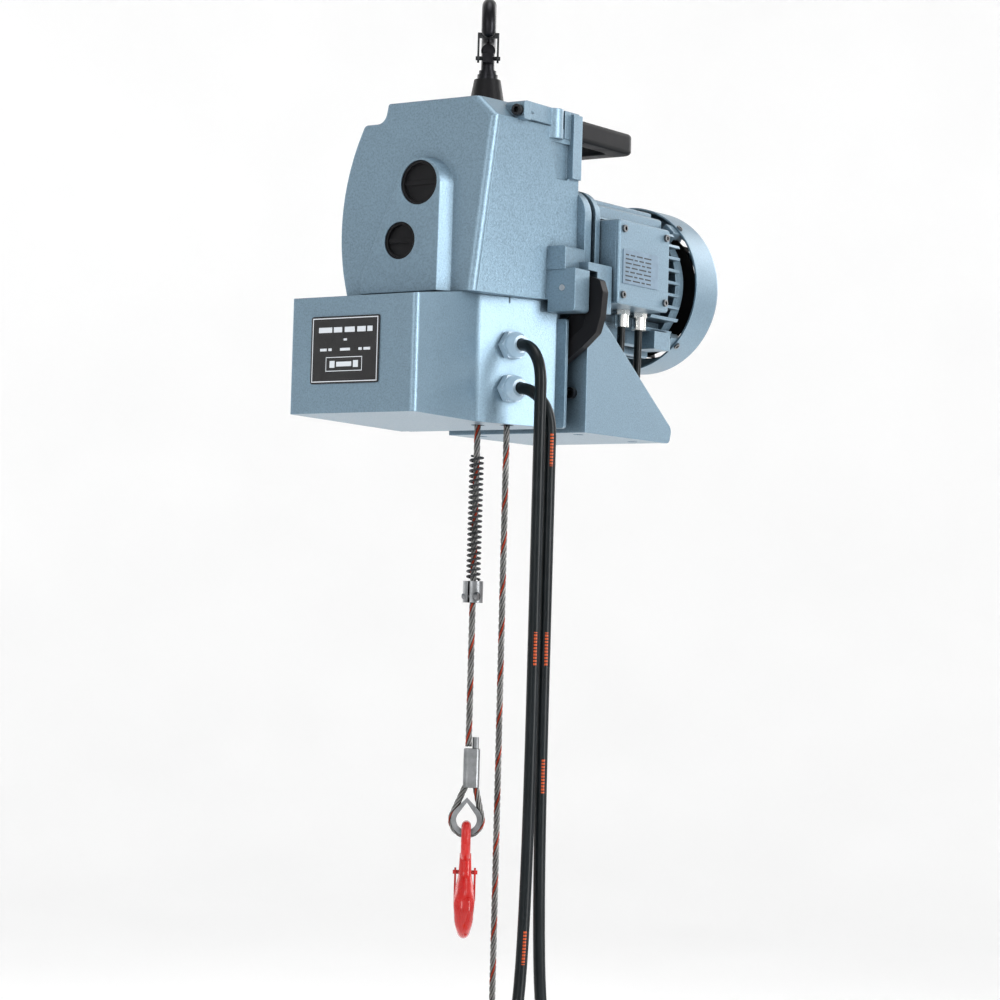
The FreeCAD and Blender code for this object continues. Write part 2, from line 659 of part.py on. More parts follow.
def rotor():
    """Rotor core on its shaft, with the motor pinion cut on the shaft's front end."""
    shaft = [y_rod(5.5, MOTOR_AXIS, 54, 68), y_rod(9.0, MOTOR_AXIS, 68, 303)]
    core = [y_rod(33.5, MOTOR_AXIS, STATOR[0] + 2, STATOR[1] - 2),
            y_rod(30.0, MOTOR_AXIS, STATOR[0] - 4, STATOR[1] + 4)]
    pinion = gear(MOTOR_AXIS, GEAR_TEETH[0][0], GEAR_MODULE[0], 45, 54, 0, PHASES[0])
    return fuse(shaft + core + [pinion])


def bearings():
    """Ball bearings drawn as rings: motor, layshafts and sheave shaft."""
    shapes = [y_tube(21.0, 9.05, MOTOR_AXIS, 76, 88), y_tube(21.0, 9.05, MOTOR_AXIS, 244, 254)]
    for axis in SHAFTS:
        shapes.append(y_tube(13.0, 6.05, axis, SEAM_Y + 0.5, SEAM_Y + 7.5))
        shapes.append(y_tube(13.0, 6.05, axis, REAR_Y - 8, REAR_Y - 1))
    return Part.makeCompound(shapes)


def end_shield():
    """Rear motor cover with the bearing seat and four arms for the cowl."""
    y0, y1 = FRAME[1], FRAME[1] + 8
    body = [y_rod(72.0, MOTOR_AXIS, y0, y1), y_rod(26.0, MOTOR_AXIS, 243, y1)]
    for k in range(4):
        arm = box(60, COWL_R - 2.05, y0, y1, MOTOR_Z - 7, MOTOR_Z + 7)
        tab = box(76, COWL_R - 2.05, y0, y1 + 11, MOTOR_Z - 7, MOTOR_Z + 7)
        edge = y_rod(COWL_R - 2.0, MOTOR_AXIS, y0, y1 + 12)
        body.append(turned(fuse([arm, tab]).common(edge), 45 + 90 * k, V(0, 0, MOTOR_Z), Y))
    body = fuse(body).cut(y_rod(21.0, MOTOR_AXIS, 230, 254)).cut(y_rod(11.0, MOTOR_AXIS, 230, 270))
    for k in range(4):
        a = math.radians(45 + 90 * k)
        out = V(math.cos(a), 0, math.sin(a))
        body = body.cut(rod(1.5, V(0, COWL_SCREW_Y, MOTOR_Z) + out * 70.0, out, 20))
    return body.removeSplitter()


def brake_magnet():
    ring = y_tube(48.0, 12.0, MOTOR_AXIS, FRAME[1] + 8, 275)
    return ring.cut(y_tube(36.0, 26.0, MOTOR_AXIS, 272, 276))


def brake_disc():
    disc = y_tube(46.0, 9.0, MOTOR_AXIS, 275.6, 280)
    return fuse([disc, y_tube(14.0, 9.0, MOTOR_AXIS, 280, 284)])


def fan():
    """Radial cooling fan on the rear end of the shaft."""
    parts = [y_rod(16.0, MOTOR_AXIS, 284, 303), y_rod(70.0, MOTOR_AXIS, 284, 286.5)]
    for k in range(9):
        blade = box(12, 70, 286, 301, MOTOR_Z - 1, MOTOR_Z + 1)
        parts.append(turned(blade, 40 * k, V(0, 0, MOTOR_Z), Y))
    return fuse(parts).cut(y_rod(9.0, MOTOR_AXIS, 270, 310))


COWL = (262.0, 311.0)
COWL_R = 86.0
COWL_SCREW_Y = 265.5


def fan_cowl():
    """Thin round cowl, open to the front, with ring slots in its rear wall."""
    y0, y1 = COWL
    outer = y_rod(COWL_R, MOTOR_AXIS, y0, y1)
    outer = outer.makeFillet(9.0, [e for e in outer.Edges if e.BoundBox.YMin > y1 - 0.1])
    inner = y_rod(COWL_R - 2.0, MOTOR_AXIS, y0 - 1, y1 - 2)
    inner = inner.makeFillet(7.5, [e for e in inner.Edges if e.BoundBox.YMin > y1 - 2.1])
    shell = outer.cut(inner)
    spokes = [turned(box(-80, 80, y1 - 5, y1 + 2, MOTOR_Z - 3, MOTOR_Z + 3), a, V(0, 0, MOTOR_Z), Y)
              for a in (0, 60, 120)]
    spokes = fuse(spokes)
    for r in range(18, 68, 9):
        shell = shell.cut(y_tube(r + 5.0, r, MOTOR_AXIS, y1 - 4, y1 + 1).cut(spokes))
    for k in range(4):
        a = math.radians(45 + 90 * k)
        out = V(math.cos(a), 0, math.sin(a))
        shell = shell.cut(rod(1.5, V(0, COWL_SCREW_Y, MOTOR_Z) + out * 70.0, out, 20))
    return shell.removeSplitter()


BOX_X = (56.0, 94.0)
LID_X = (94.0, 98.0)
TB = (94.0, 188.0, -278.5, -195.0)
LID_SCREWS = tuple((y, z) for y in (TB[0] + 8, TB[1] - 8) for z in (TB[2] + 9, TB[3] - 9))
TERMINAL_GLANDS = ((68.0, 148.0), (68.0, 180.0))


def terminal_box():
    y0, y1, z0, z1 = TB
    body = box(BOX_X[0], BOX_X[1], y0, y1, z0, z1)
    body = body.makeFillet(3.0, [e for e in body.Edges if e.BoundBox.XLength > 20])
    body = body.cut(box(BOX_X[0] + 4, BOX_X[1] + 1, y0 + 4, y1 - 4, z0 + 5, z1 - 5))
    posts = [box(BOX_X[0] + 3, BOX_X[1], y - 5, y + 5, z - 5, z + 5) for y, z in LID_SCREWS]
    body = fuse([body] + posts)
    for x, y in TERMINAL_GLANDS:
        body = body.cut(rod(5.5, V(x, y, z0 - 1), Z, 20))
    for y, z in LID_SCREWS:
        body = body.cut(rod(1.8, V(BOX_X[1] - 12, y, z), X, 14))
    return body


def terminal_lid():
    y0, y1, z0, z1 = TB
    lid = prism_x([(y0, z0), (y1, z0), (y1, z1), (y0, z1)], [3, 3, 3, 3], LID_X[0], LID_X[1])
    rim = [e for e in lid.Edges if e.BoundBox.XMin > LID_X[1] - 0.01]
    lid = lid.makeChamfer(1.4, rim)
    for y, z in LID_SCREWS:
        lid = lid.cut(rod(2.2, V(LID_X[0] - 1, y, z), X, 8))
    return lid


def rating_plate():
    return prism_x([(101, -258), (166, -258), (166, -224), (101, -224)], [1] * 4, LID_X[1], LID_X[1] + 0.8)


def motor_glands():
    """Nickel glands under the terminal box, a hexagon body and a round nut each."""
    shapes = []
    for x, y in TERMINAL_GLANDS:
        body = fuse([hexagon(14.5, V(x, y, TB[2]), V(0, 0, -1), 5.0), rod(5.5, V(x, y, TB[2]), Z, 6.0),
                     rod(7.4, V(x, y, -296), Z, 12.5)])
        shapes.append(body.cut(rod(LEAD_R, V(x, y, -310), Z, 50)))
    return Part.makeCompound(shapes)


def lead_points(gland, hole, drop):
    """Route of a lead: down from its gland, a quarter turn, then forward into the control box."""
    x, y = gland
    step = 21.0
    near, far = step * math.sin(math.radians(30)), step * math.cos(math.radians(30))
    low = hole[1] + near + far
    return [V(x, y, -292), V(x, y, low), V(x, y - near, low - far), V(x, y - near - far, hole[1]),
            V(hole[0], 92 + drop, hole[1]), V(hole[0], BACK_Y - 3, hole[1])]


# ---- screws ----
def cap_screws():
    """M6 socket cap screws: lug, foot, handle and motor adaptor."""
    screws = [cap_screw(V(61.5, -33, -105.5), -Y, 3.0, 20, 5.4, 5)]
    for x, z in FOOT_SCREWS:
        screws.append(cap_screw(V(x, FOOT_Y, z), -Y, 3.0, 6, 5.4, 6))
    for x, z in HANDLE_SCREWS:
        screws.append(cap_screw(V(x, 74, z), Y, 3.0, 18, 5.0, 6))
    for x, z in ADAPTOR_SCREWS:
        screws.append(cap_screw(V(x, 76, z), Y, 3.0, 20, 5.0, 6))
    return Part.makeCompound(screws)


def small_screws():
    """Small screws of the terminal box lid and the cowl."""
    screws = []
    for y, z in LID_SCREWS:
        screws.append(cap_screw(V(LID_X[1], y, z), X, 1.8, 14, 3.6, 2.4))
    for k in range(4):
        a = math.radians(45 + 90 * k)
        out = V(math.cos(a), 0, math.sin(a))
        point = V(0, COWL_SCREW_Y, MOTOR_Z) + out * COWL_R
        screws.append(cap_screw(point, out, 1.5, 8, 3.4, 2.0))
    return Part.makeCompound(screws)


# ---- gear train and rope drive ----
PHASES = [0.0]
PHASES.append(mesh_phase(MOTOR_AXIS, 12, PHASES[0], SHAFT2_AXIS, 52))
PHASES.append(0.2)
PHASES.append(mesh_phase(SHAFT2_AXIS, 12, PHASES[2], SHAFT3_AXIS, 54))
PHASES.append(0.1)
PHASES.append(mesh_phase(SHAFT3_AXIS, 12, PHASES[4], SHEAVE_AXIS, 47))


def layshaft_1():
    shaft = y_rod(6.0, SHAFT2_AXIS, SEAM_Y + 1, REAR_Y - 1.5)
    pinion = gear(SHAFT2_AXIS, 12, GEAR_MODULE[1], 33, 43, 0, PHASES[2])
    return fuse([shaft, pinion])


def gear_1():
    return lightened(gear(SHAFT2_AXIS, 52, GEAR_MODULE[0], 46, 53, 6.0, PHASES[1]), SHAFT2_AXIS, 19.0, 6.5)


def lightened(wheel, axis, ring_r, hole_r):
    """A gear wheel with six lightening holes."""
    for k in range(6):
        a = math.radians(60 * k)
        spot = (axis[0] + ring_r * math.cos(a), axis[1] + ring_r * math.sin(a))
        wheel = wheel.cut(y_rod(hole_r, spot, 20, 60))
    return wheel


def layshaft_2():
    shaft = y_rod(6.0, SHAFT3_AXIS, SEAM_Y + 1, REAR_Y - 1.5)
    pinion = gear(SHAFT3_AXIS, 12, GEAR_MODULE[2], 17.5, 31, 0, PHASES[4])
    return fuse([shaft, pinion])


def gear_2():
    return lightened(gear(SHAFT3_AXIS, 54, GEAR_MODULE[1], 34, 42, 6.0, PHASES[3]), SHAFT3_AXIS, 25.0, 8.0)


def sheave():
    body = fuse([y_rod(SHEAVE_R - ROPE_R - 0.06, SHEAVE_AXIS, -9, 17), y_rod(47.0, SHEAVE_AXIS, -9, -5),
                 y_rod(47.0, SHEAVE_AXIS, 13, 17)])
    return body.cut(y_rod(6.0, SHEAVE_AXIS, -12, 20))


def sheave_gear():
    """Sheave shaft with the last gear wheel."""
    shaft = y_rod(6.0, SHEAVE_AXIS, SEAM_Y + 1, REAR_Y - 1.5)
    wheel = gear(SHEAVE_AXIS, 47, GEAR_MODULE[2], 18.5, 30, 0, PHASES[5])
    hub = y_rod(14.0, SHEAVE_AXIS, 17, 19)
    return fuse([shaft, wheel, hub])


WRAP_TOP = -290.0
SLACK_TOP = -403.0
BEND_R = 34.0


def rope_wrap():
    """The rope inside the casing: up to the sheave, three quarters round it, down to the slack side."""
    points = []
    steps = 48
    for k in range(steps + 1):
        a = math.radians(270.0 * k / steps)
        shift = SLACK_Y * (1 - math.cos(math.pi * k / steps)) / 2
        points.append(V(SHEAVE_X + SHEAVE_R * math.cos(a), shift, SHEAVE_Z + SHEAVE_R * math.sin(a)))
    turn = Part.BSplineCurve()
    turn.interpolate(Points=points, InitialTangent=Z, FinalTangent=X, Scale=False)
    low = SHEAVE_Z - SHEAVE_R
    bend_x = SLACK_X - BEND_R
    profile = Part.Face(Part.Wire([Part.makeCircle(ROPE_R, V(bend_x, SLACK_Y, low), X)]))
    bend = profile.revolve(V(bend_x, SLACK_Y, low - BEND_R), Y, 90)
    return fuse([rod(ROPE_R, V(0, 0, WRAP_TOP), Z, SHEAVE_Z - WRAP_TOP),
                 sweep(Part.Wire([turn.toShape()]), ROPE_R, points[0], Z),
                 rod(ROPE_R, V(SHEAVE_X, SLACK_Y, low), X, bend_x - SHEAVE_X),
                 bend,
                 rod(ROPE_R, V(SLACK_X, SLACK_Y, SLACK_TOP), Z, low - BEND_R - SLACK_TOP)])


# ---- load end ----
FERRULE = (-756.0, -718.0)
EYE_CENTRE = (0.0, -787.0)
EYE_R = 14.75
LEGS = (0.0, 6.8)
SPRING = (-555.9, -433.0)


def tangent_point(u, z, side):
    """Where a line from (u, z) touches the eye circle on the given side."""
    du, dz = u - EYE_CENTRE[0], z - EYE_CENTRE[1]
    d = math.hypot(du, dz)
    a = math.atan2(dz, du) + side * math.acos(EYE_R / d)
    return (EYE_CENTRE[0] + EYE_R * math.cos(a), EYE_CENTRE[1] + EYE_R * math.sin(a))


def eye_wire():
    left = tangent_point(LEGS[0], FERRULE[0], 1)
    right = tangent_point(LEGS[1], FERRULE[0], -1)

    def p(q):
        return V(q[0], 0, q[1])
    low = (EYE_CENTRE[0], EYE_CENTRE[1] - EYE_R)
    return Part.Wire([Part.makeLine(V(LEGS[0], 0, FERRULE[0]), p(left)),
                      Part.Arc(p(left), p(low), p(right)).toShape(),
                      Part.makeLine(p(right), V(LEGS[1], 0, FERRULE[0]))]), p(left)


def eye_bar(radius):
    wire, first = eye_wire()
    start = V(LEGS[0], 0, FERRULE[0])
    return sweep(wire, radius, start, first - start)


def rope_eye():
    return turned(eye_bar(ROPE_R).cut(box(-40, 40, -10, 10, FERRULE[0], FERRULE[0] + 5)), HOOK_TURN)


def thimble():
    """Grooved liner inside the rope eye."""
    u, z = EYE_CENTRE

    def drop(r, peak):
        angle = math.acos(r / (peak - z))
        a, b = math.pi / 2 + angle, math.pi / 2 - angle
        left = V(u + r * math.cos(a), -4.5, z + r * math.sin(a))
        right = V(u + r * math.cos(b), -4.5, z + r * math.sin(b))
        top = V(u, -4.5, peak)
        wire = Part.Wire([Part.makeLine(top, left), Part.Arc(left, V(u, -4.5, z - r), right).toShape(),
                          Part.makeLine(right, top)])
        return Part.Face(wire).extrude(V(0, 9, 0))
    body = drop(15.0, -765.5).cut(drop(10.0, -770.0)).cut(eye_bar(ROPE_R + 0.03))
    solids = sorted(body.Solids, key=lambda s: s.Volume)
    return turned(solids[-1], HOOK_TURN)


def ferrule():
    """Pressed sleeve round the rope and its returned end, with the short dead end on top."""
    low, high = FERRULE
    r = ROPE_R + 1.3
    body = fuse([rod(r, V(LEGS[0], 0, low), Z, high - low), rod(r, V(LEGS[1], 0, low), Z, high - low),
                 box(LEGS[0], LEGS[1], -r, r, low, high)])
    body = body.makeFillet(1.0, [e for e in body.Edges if e.BoundBox.ZLength < 0.01])
    stub = rod(3.1, V(LEGS[1], 0, high - 2), Z, 13.0)
    return turned(fuse([body, stub]), HOOK_TURN)


def load_rope():
    return rod(ROPE_R, V(0, 0, FERRULE[1]), Z, WRAP_TOP - FERRULE[1])


def buffer_spring():
    """Compression spring on the rope above the clamp, with a wide top coil."""
    wire_r, mean_r, turns = 1.1, 6.1, 23.5
    low, high = SPRING
    pitch = (high - low - 2 * wire_r) / turns
    helix = Part.makeHelix(pitch, pitch * turns, mean_r)
    helix.translate(V(0, 0, low + wire_r))
    slope = V(0, 2 * math.pi * mean_r, pitch)
    profile = Part.Wire([Part.makeCircle(wire_r, V(mean_r, 0, low + wire_r), slope)])
    return Part.Wire(helix.Edges).makePipeShell([profile], True, True)


def rope_clamp():
    """Clamp collar with its screw; the spring stands on it."""
    body = tube(9.8, ROPE_R, V(0, 0, -577), Z, 21)
    body = body.cut(box(-1, 1, -20, 0, -590, -540))
    body = body.cut(rod(2.5, V(-20, -6.4, -571), X, 40))
    screw = fuse([rod(2.45, V(-8, -6.4, -571), X, 14), rod(3.8, V(5.8, -6.4, -571), X, 3)])
    body = body.cut(rod(3.9, V(5.7, -6.4, -571), X, 10))
    both = Part.makeCompound([body, screw])
    return turned(both, 10.0)


# ---- free cords ----
EXIT = GLAND_BASE + FLARE_OUT * GLAND_LENGTH
CONTROL_DOWN = EXIT + FLARE_OUT * 36.0
SUPPLY_DOWN = V(92.0, -9.5, 0)
SPLIT_Z = -950.0         # the two cables spread apart below this height
CONTROL_END = V(91.8, -60.0, -1040.0)
SUPPLY_END = V(96.0, 16.0, -1040.0)
SLACK_END = V(3.0, 63.0, -1000.0)
COIL_DROP = 42.0
COIL_R = 39.0
COIL_BAR = 12.0


def control_cable_points():
    """Straight out of the upper gland, a quarter turn down, then hanging straight."""
    z = GLAND_Z[0]
    way = FLARE_OUT
    step = 20.5
    near, far = step * math.sin(math.radians(30)), step * math.cos(math.radians(30))
    return [EXIT - FLARE_OUT * 14.0 + Z * z,
            CONTROL_DOWN - way * (near + far) + Z * z,
            CONTROL_DOWN - way * near + Z * (z - near),
            CONTROL_DOWN + Z * (z - near - far),
            CONTROL_DOWN + Z * SPLIT_Z,
            V(CONTROL_END.x, CONTROL_END.y, SPLIT_Z - 46),
            CONTROL_END]


def supply_cable_points():
    """Out of the lower gland and sideways behind the control cable, then hanging straight."""
    z = GLAND_Z[1]
    start = EXIT + FLARE_OUT * 4.0
    flat = SUPPLY_DOWN - start
    out, side = flat.dot(FLARE_OUT), flat.dot(FLARE_ALONG)
    route = [(0.0, 0.0, 0.0), (0.496, 0.30, -5.0), (0.85, 0.74, -17.0), (1.0, 1.0, -34.0)]
    points = [EXIT - FLARE_OUT * 16.0 + Z * z]
    for a, b, drop in route:
        points.append(start + FLARE_OUT * (out * a) + FLARE_ALONG * (side * b) + Z * (z + drop))
    points.append(SUPPLY_DOWN + Z * SPLIT_Z)
    points.append(V(SUPPLY_END.x, SUPPLY_END.y, SPLIT_Z - 46))
    points.append(SUPPLY_END)
    return points


def slack_points():
    return [V(SLACK_X, SLACK_Y, SLACK_TOP), V(SLACK_X, SLACK_Y, -440.0),
            V(SLACK_END.x, SLACK_END.y, SLACK_END.z + 30), SLACK_END]


def slack_rope():
    return cord("slack_rope", slack_points(), ROPE_R)


def rope_coil():
    """The rest of the rope put away in a tied ring, with its fused and tapered end."""
    centre = SLACK_END + V(0, COIL_R, -COIL_DROP)
    ring = Part.makeTorus(COIL_R, COIL_BAR, centre, X)
    lead = rod(ROPE_R, V(SLACK_END.x, SLACK_END.y, centre.z), Z, SLACK_END.z - centre.z)
    foot_point = centre - V(0, COIL_R - 5, COIL_R + 28)
    tail = rod(ROPE_R, foot_point, Z, COIL_R + 28)
    tip = Part.makeCone(1.6, ROPE_R, 9.0, foot_point - Z * 9, Z)
    return fuse([ring, lead, tail, tip])


# ---- pendant and plug ----
PENDANT_FRONT = -84.0
PENDANT_DEPTH = 44.0
PENDANT_Z = (-1190.0, -1040.0)
BUTTONS = (-1112.0, -1148.0)
STOP_Z = -1072.0
BUTTON_R = 9.0




def pendant():
    """Hanging control station with a tapered cable sleeve on top."""
    x, y = CONTROL_END.x, CONTROL_END.y
    low, high = PENDANT_Z
    body = prism_y([(x - 29, low), (x + 29, low), (x + 29, high), (x - 29, high)], [12] * 4,
                   PENDANT_FRONT, PENDANT_FRONT + PENDANT_DEPTH)
    body = body.makeFillet(5.0, [e for e in body.Edges if e.BoundBox.YLength < 0.01])
    sleeve = Part.makeCone(13.0, 8.2, 26.0, V(x, y, high - 2), Z)
    body = fuse([body, sleeve]).cut(rod(CABLE_R, V(x, y, CONTROL_END.z), Z, 40))
    for z in BUTTONS + (STOP_Z,):
        body = body.cut(y_rod(BUTTON_R, (x, z), PENDANT_FRONT - 1, PENDANT_FRONT + 18))
    return body.removeSplitter()


def button(z, head_r, head_h):
    x = CONTROL_END.x
    stem = y_rod(BUTTON_R - 0.06, (x, z), PENDANT_FRONT - 5, PENDANT_FRONT + 12)
    head = y_rod(head_r, (x, z), PENDANT_FRONT - 5 - head_h, PENDANT_FRONT - 5)
    return fuse([stem, head])


def supply_plug():
    """Round industrial plug with a cord grip, a collar and contact pins."""
    x, y, top = SUPPLY_END.x, SUPPLY_END.y, SUPPLY_END.z
    body = fuse([Part.makeCone(12.5, 8.2, 20.0, V(x, y, top), Z),
                 Part.makeCone(21.0, 12.5, 26.0, V(x, y, top - 26), Z),
                 rod(21.0, V(x, y, top - 76), Z, 50.0), rod(23.0, V(x, y, top - 50), Z, 7.0)])
    body = body.cut(rod(CABLE_R, V(x, y, top), Z, 30))
    body = body.cut(rod(18.6, V(x, y, top - 77), Z, 33))
    pins = []
    for k in range(4):
        a = math.radians(90 * k + 45)
        foot = V(x + 10.5 * math.cos(a), y + 10.5 * math.sin(a), top - 71)
        pins.append(rod(3.2 if k == 0 else 2.5, foot, Z, 28))
    return fuse([body] + pins)


NODES = {
    "suspension_hook": suspension_hook,
    "suspension_latch": suspension_latch,
    "housing_main": housing_main,
    "housing_cover": housing_cover,
    "shaft_plugs": shaft_plugs,
    "cap_screws": cap_screws,
    "control_box": control_box,
    "box_back": box_back,
    "nameplate": nameplate,
    "box_glands": box_glands,
    "control_gear": control_gear,
    "rope_guides": rope_guides,
    "foot": foot,
    "handle": handle,
    "lever_bracket": lever_bracket,
    "release_lever": release_lever,
    "lever_pin": lever_pin,
    "motor_adaptor": motor_adaptor,
    "motor_frame": motor_frame,
    "stator": stator,
    "rotor": rotor,
    "bearings": bearings,
    "end_shield": end_shield,
    "brake_magnet": brake_magnet,
    "brake_disc": brake_disc,
    "fan": fan,
    "fan_cowl": fan_cowl,
    "small_screws": small_screws,
    "terminal_box": terminal_box,
    "terminal_lid": terminal_lid,
    "rating_plate": rating_plate,
    "motor_glands": motor_glands,
    "layshaft_1": layshaft_1,
    "gear_1": gear_1,
    "layshaft_2": layshaft_2,
    "gear_2": gear_2,
    "sheave": sheave,
    "sheave_gear": sheave_gear,
    "rope_wrap": rope_wrap,
    "load_rope": load_rope,
    "buffer_spring": buffer_spring,
    "rope_clamp": rope_clamp,
    "ferrule": ferrule,
    "thimble": thimble,
    "rope_eye": rope_eye,
    "load_hook": load_hook,
    "load_latch": load_latch,
    "slack_rope": slack_rope,
    "rope_coil": rope_coil,
    "pendant": pendant,
    "supply_plug": supply_plug,
}

for name, make in NODES.items():
    export(name, make())

HOOK_BASE = Part.makeCone(18.0, 13.0, 27.95, V(0, 0, TOP_Z), Z)
export("hook_base", HOOK_BASE.cut(rod(6.06, V(0, 0, -130), Z, 90)))
export("hook_nut", hexagon(22.0, V(0, 0, -114), Z, 11.95).cut(rod(6.0, V(0, 0, -130), Z, 60)))
for name, gland, hole, drop in (("motor_cable", TERMINAL_GLANDS[0], LEAD_HOLES[0], 0),
                                ("brake_cable", TERMINAL_GLANDS[1], LEAD_HOLES[1], 8)):
    export(name, cord(name, lead_points(gland, hole, drop), LEAD_R))
export("control_cable", cord("control_cable", control_cable_points(), CABLE_R))
export("supply_cable", cord("supply_cable", supply_cable_points(), CABLE_R))
export("button_up", button(BUTTONS[0], 12.0, 3.0))
export("button_down", button(BUTTONS[1], 12.0, 3.0))
export("stop_button", button(STOP_Z, 16.0, 7.0))
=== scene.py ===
import json
import math

import bpy
from mathutils import Matrix, Vector


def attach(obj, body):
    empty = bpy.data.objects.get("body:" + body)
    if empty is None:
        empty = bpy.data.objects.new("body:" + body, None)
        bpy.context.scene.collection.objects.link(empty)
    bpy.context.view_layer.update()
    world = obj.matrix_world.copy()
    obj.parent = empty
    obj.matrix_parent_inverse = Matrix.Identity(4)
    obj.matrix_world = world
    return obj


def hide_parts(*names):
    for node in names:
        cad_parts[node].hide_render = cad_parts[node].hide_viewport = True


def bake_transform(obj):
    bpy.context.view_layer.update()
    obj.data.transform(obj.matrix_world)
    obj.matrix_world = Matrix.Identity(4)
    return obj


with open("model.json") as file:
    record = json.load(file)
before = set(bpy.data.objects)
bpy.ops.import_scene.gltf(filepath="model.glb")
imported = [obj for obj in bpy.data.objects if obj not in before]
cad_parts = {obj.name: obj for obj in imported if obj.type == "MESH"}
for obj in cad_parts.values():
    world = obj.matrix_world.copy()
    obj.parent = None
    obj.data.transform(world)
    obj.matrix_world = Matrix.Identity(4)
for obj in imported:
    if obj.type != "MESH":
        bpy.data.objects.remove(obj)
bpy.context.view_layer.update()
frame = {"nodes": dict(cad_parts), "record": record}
NODES = frame["nodes"]

MM = 0.001
ROPE_D = 6.5 * MM
CABLE_D = 11.5 * MM
LEAD_D = 8.0 * MM
ROPE_LAY = 42.0 * MM
TURN = Matrix.Rotation(math.radians(35.0), 3, "Z")      # both hooks' planes are turned this far about Z
FLARE_OUT = Vector((0.9174, -0.3979, 0.0))
FLARE_ALONG = Vector((0.3979, 0.9174, 0.0))
GLAND_EXIT = Vector((56.47, -10.10, 0.0))
GLAND_Z = (-328.0, -370.0)
WHITE = (1.0, 1.0, 1.0, 1.0)

scene = bpy.context.scene


# ---- camera ----
CAMERA_PLACE = (1.6655, -2.3406, -0.6105)
CAMERA_AZIMUTH, CAMERA_ELEVATION, CAMERA_ROLL = 34.96, -2.67, 1.6      # degrees
CAMERA_LENS = 106.5


def set_camera():
    """The camera looks along the azimuth and elevation, rolled between the body and its ropes."""
    azimuth, elevation, roll = (math.radians(a) for a in (CAMERA_AZIMUTH, CAMERA_ELEVATION, CAMERA_ROLL))
    back = Vector((math.sin(azimuth) * math.cos(elevation), -math.cos(azimuth) * math.cos(elevation),
                   math.sin(elevation)))
    right = Vector((math.cos(azimuth), math.sin(azimuth), 0.0))
    up = back.cross(right)
    side = math.cos(roll) * right + math.sin(roll) * up
    top = -math.sin(roll) * right + math.cos(roll) * up
    data = bpy.data.cameras.new("camera")
    data.sensor_width = 36.0
    data.lens = CAMERA_LENS
    data.clip_end = 60.0
    cam = bpy.data.objects.new("camera", data)
    scene.collection.objects.link(cam)
    cam.matrix_world = Matrix((
        (side.x, top.x, back.x, CAMERA_PLACE[0]),
        (side.y, top.y, back.y, CAMERA_PLACE[1]),
        (side.z, top.z, back.z, CAMERA_PLACE[2]),
        (0.0, 0.0, 0.0, 1.0)))
    scene.camera = cam


set_camera()


# ---- routes of the cords: the control points of part.py, in metres ----
CABLE_TURN = 20.5       # millimetres, size of the control cable's quarter turn
LEAD_TURN = 21.0
STRAIGHT_END = -950.0   # height at which both cables stop hanging straight


def points_mm(rows):
    """Rows of millimetres as points in metres."""
    return [Vector(row) * MM for row in rows]


def control_route():
    """Straight out of the upper gland, a quarter turn down, then straight to the pendant."""
    z = GLAND_Z[0]
    down = GLAND_EXIT + FLARE_OUT * 36.0
    near, far = CABLE_TURN * 0.5, CABLE_TURN * 0.8660
    return points_mm([
        GLAND_EXIT - FLARE_OUT * 14.0 + Vector((0, 0, z)),
        down - FLARE_OUT * (near + far) + Vector((0, 0, z)),
        down - FLARE_OUT * near + Vector((0, 0, z - near)),
        down + Vector((0, 0, z - near - far)),
        down + Vector((0, 0, z - 2.6 * far - near)),
        down + Vector((0, 0, STRAIGHT_END)),
        (91.8, -60.0, -996.0),
        (91.8, -60.0, -1040.0)])


def supply_route():
    """Out of the lower gland, sideways behind the control cable, then straight to the plug."""
    z = GLAND_Z[1]
    down = Vector((92.0, -9.5, 0.0))
    start = GLAND_EXIT + FLARE_OUT * 4.0
    flat = down - start
    out, side = flat.dot(FLARE_OUT), flat.dot(FLARE_ALONG)
    rows = [GLAND_EXIT - FLARE_OUT * 16.0 + Vector((0, 0, z))]
    for a, b, drop in ((0.0, 0.0, 0.0), (0.496, 0.30, -5.0), (0.85, 0.74, -17.0), (1.0, 1.0, -34.0)):
        rows.append(start + FLARE_OUT * (out * a) + FLARE_ALONG * (side * b) + Vector((0, 0, z + drop)))
    rows += [down + Vector((0, 0, z - 64.0)), down + Vector((0, 0, STRAIGHT_END)),
             (96.0, 16.0, -996.0), (96.0, 16.0, -1040.0)]
    return points_mm(rows)


def lead_route(gland, hole, set_back):
    """Down from a gland, a quarter turn, then forward into the control box."""
    x, y = gland
    near, far = LEAD_TURN * 0.5, LEAD_TURN * 0.8660
    low = hole[1] + near + far
    return points_mm([(x, y, -292), (x, y, low), (x, y - near, low - far), (x, y - near - far, hole[1]),
                      (hole[0], 92 + set_back, hole[1]), (hole[0], 43, hole[1])])


COIL_CENTRE = Vector((3.0, 102.0, -1042.0))
COIL_R = 39.0
TURN_POINTS = 12        # control points in one turn
CUT_INSIDE = 0.983      # the curve's radius over that of its control points
COIL_SLOTS = ((-1.0, 1.0), (0.0, 1.0), (1.0, 1.0), (1.5, 0.0), (0.5, 0.0), (-0.5, 0.0), (-1.5, 0.0),
              (-1.0, -1.0), (0.0, -1.0), (1.0, -1.0))
PITCH = 6.7             # between turns that lie side by side
ROW_PITCH = 5.8         # between turns that lie on each other


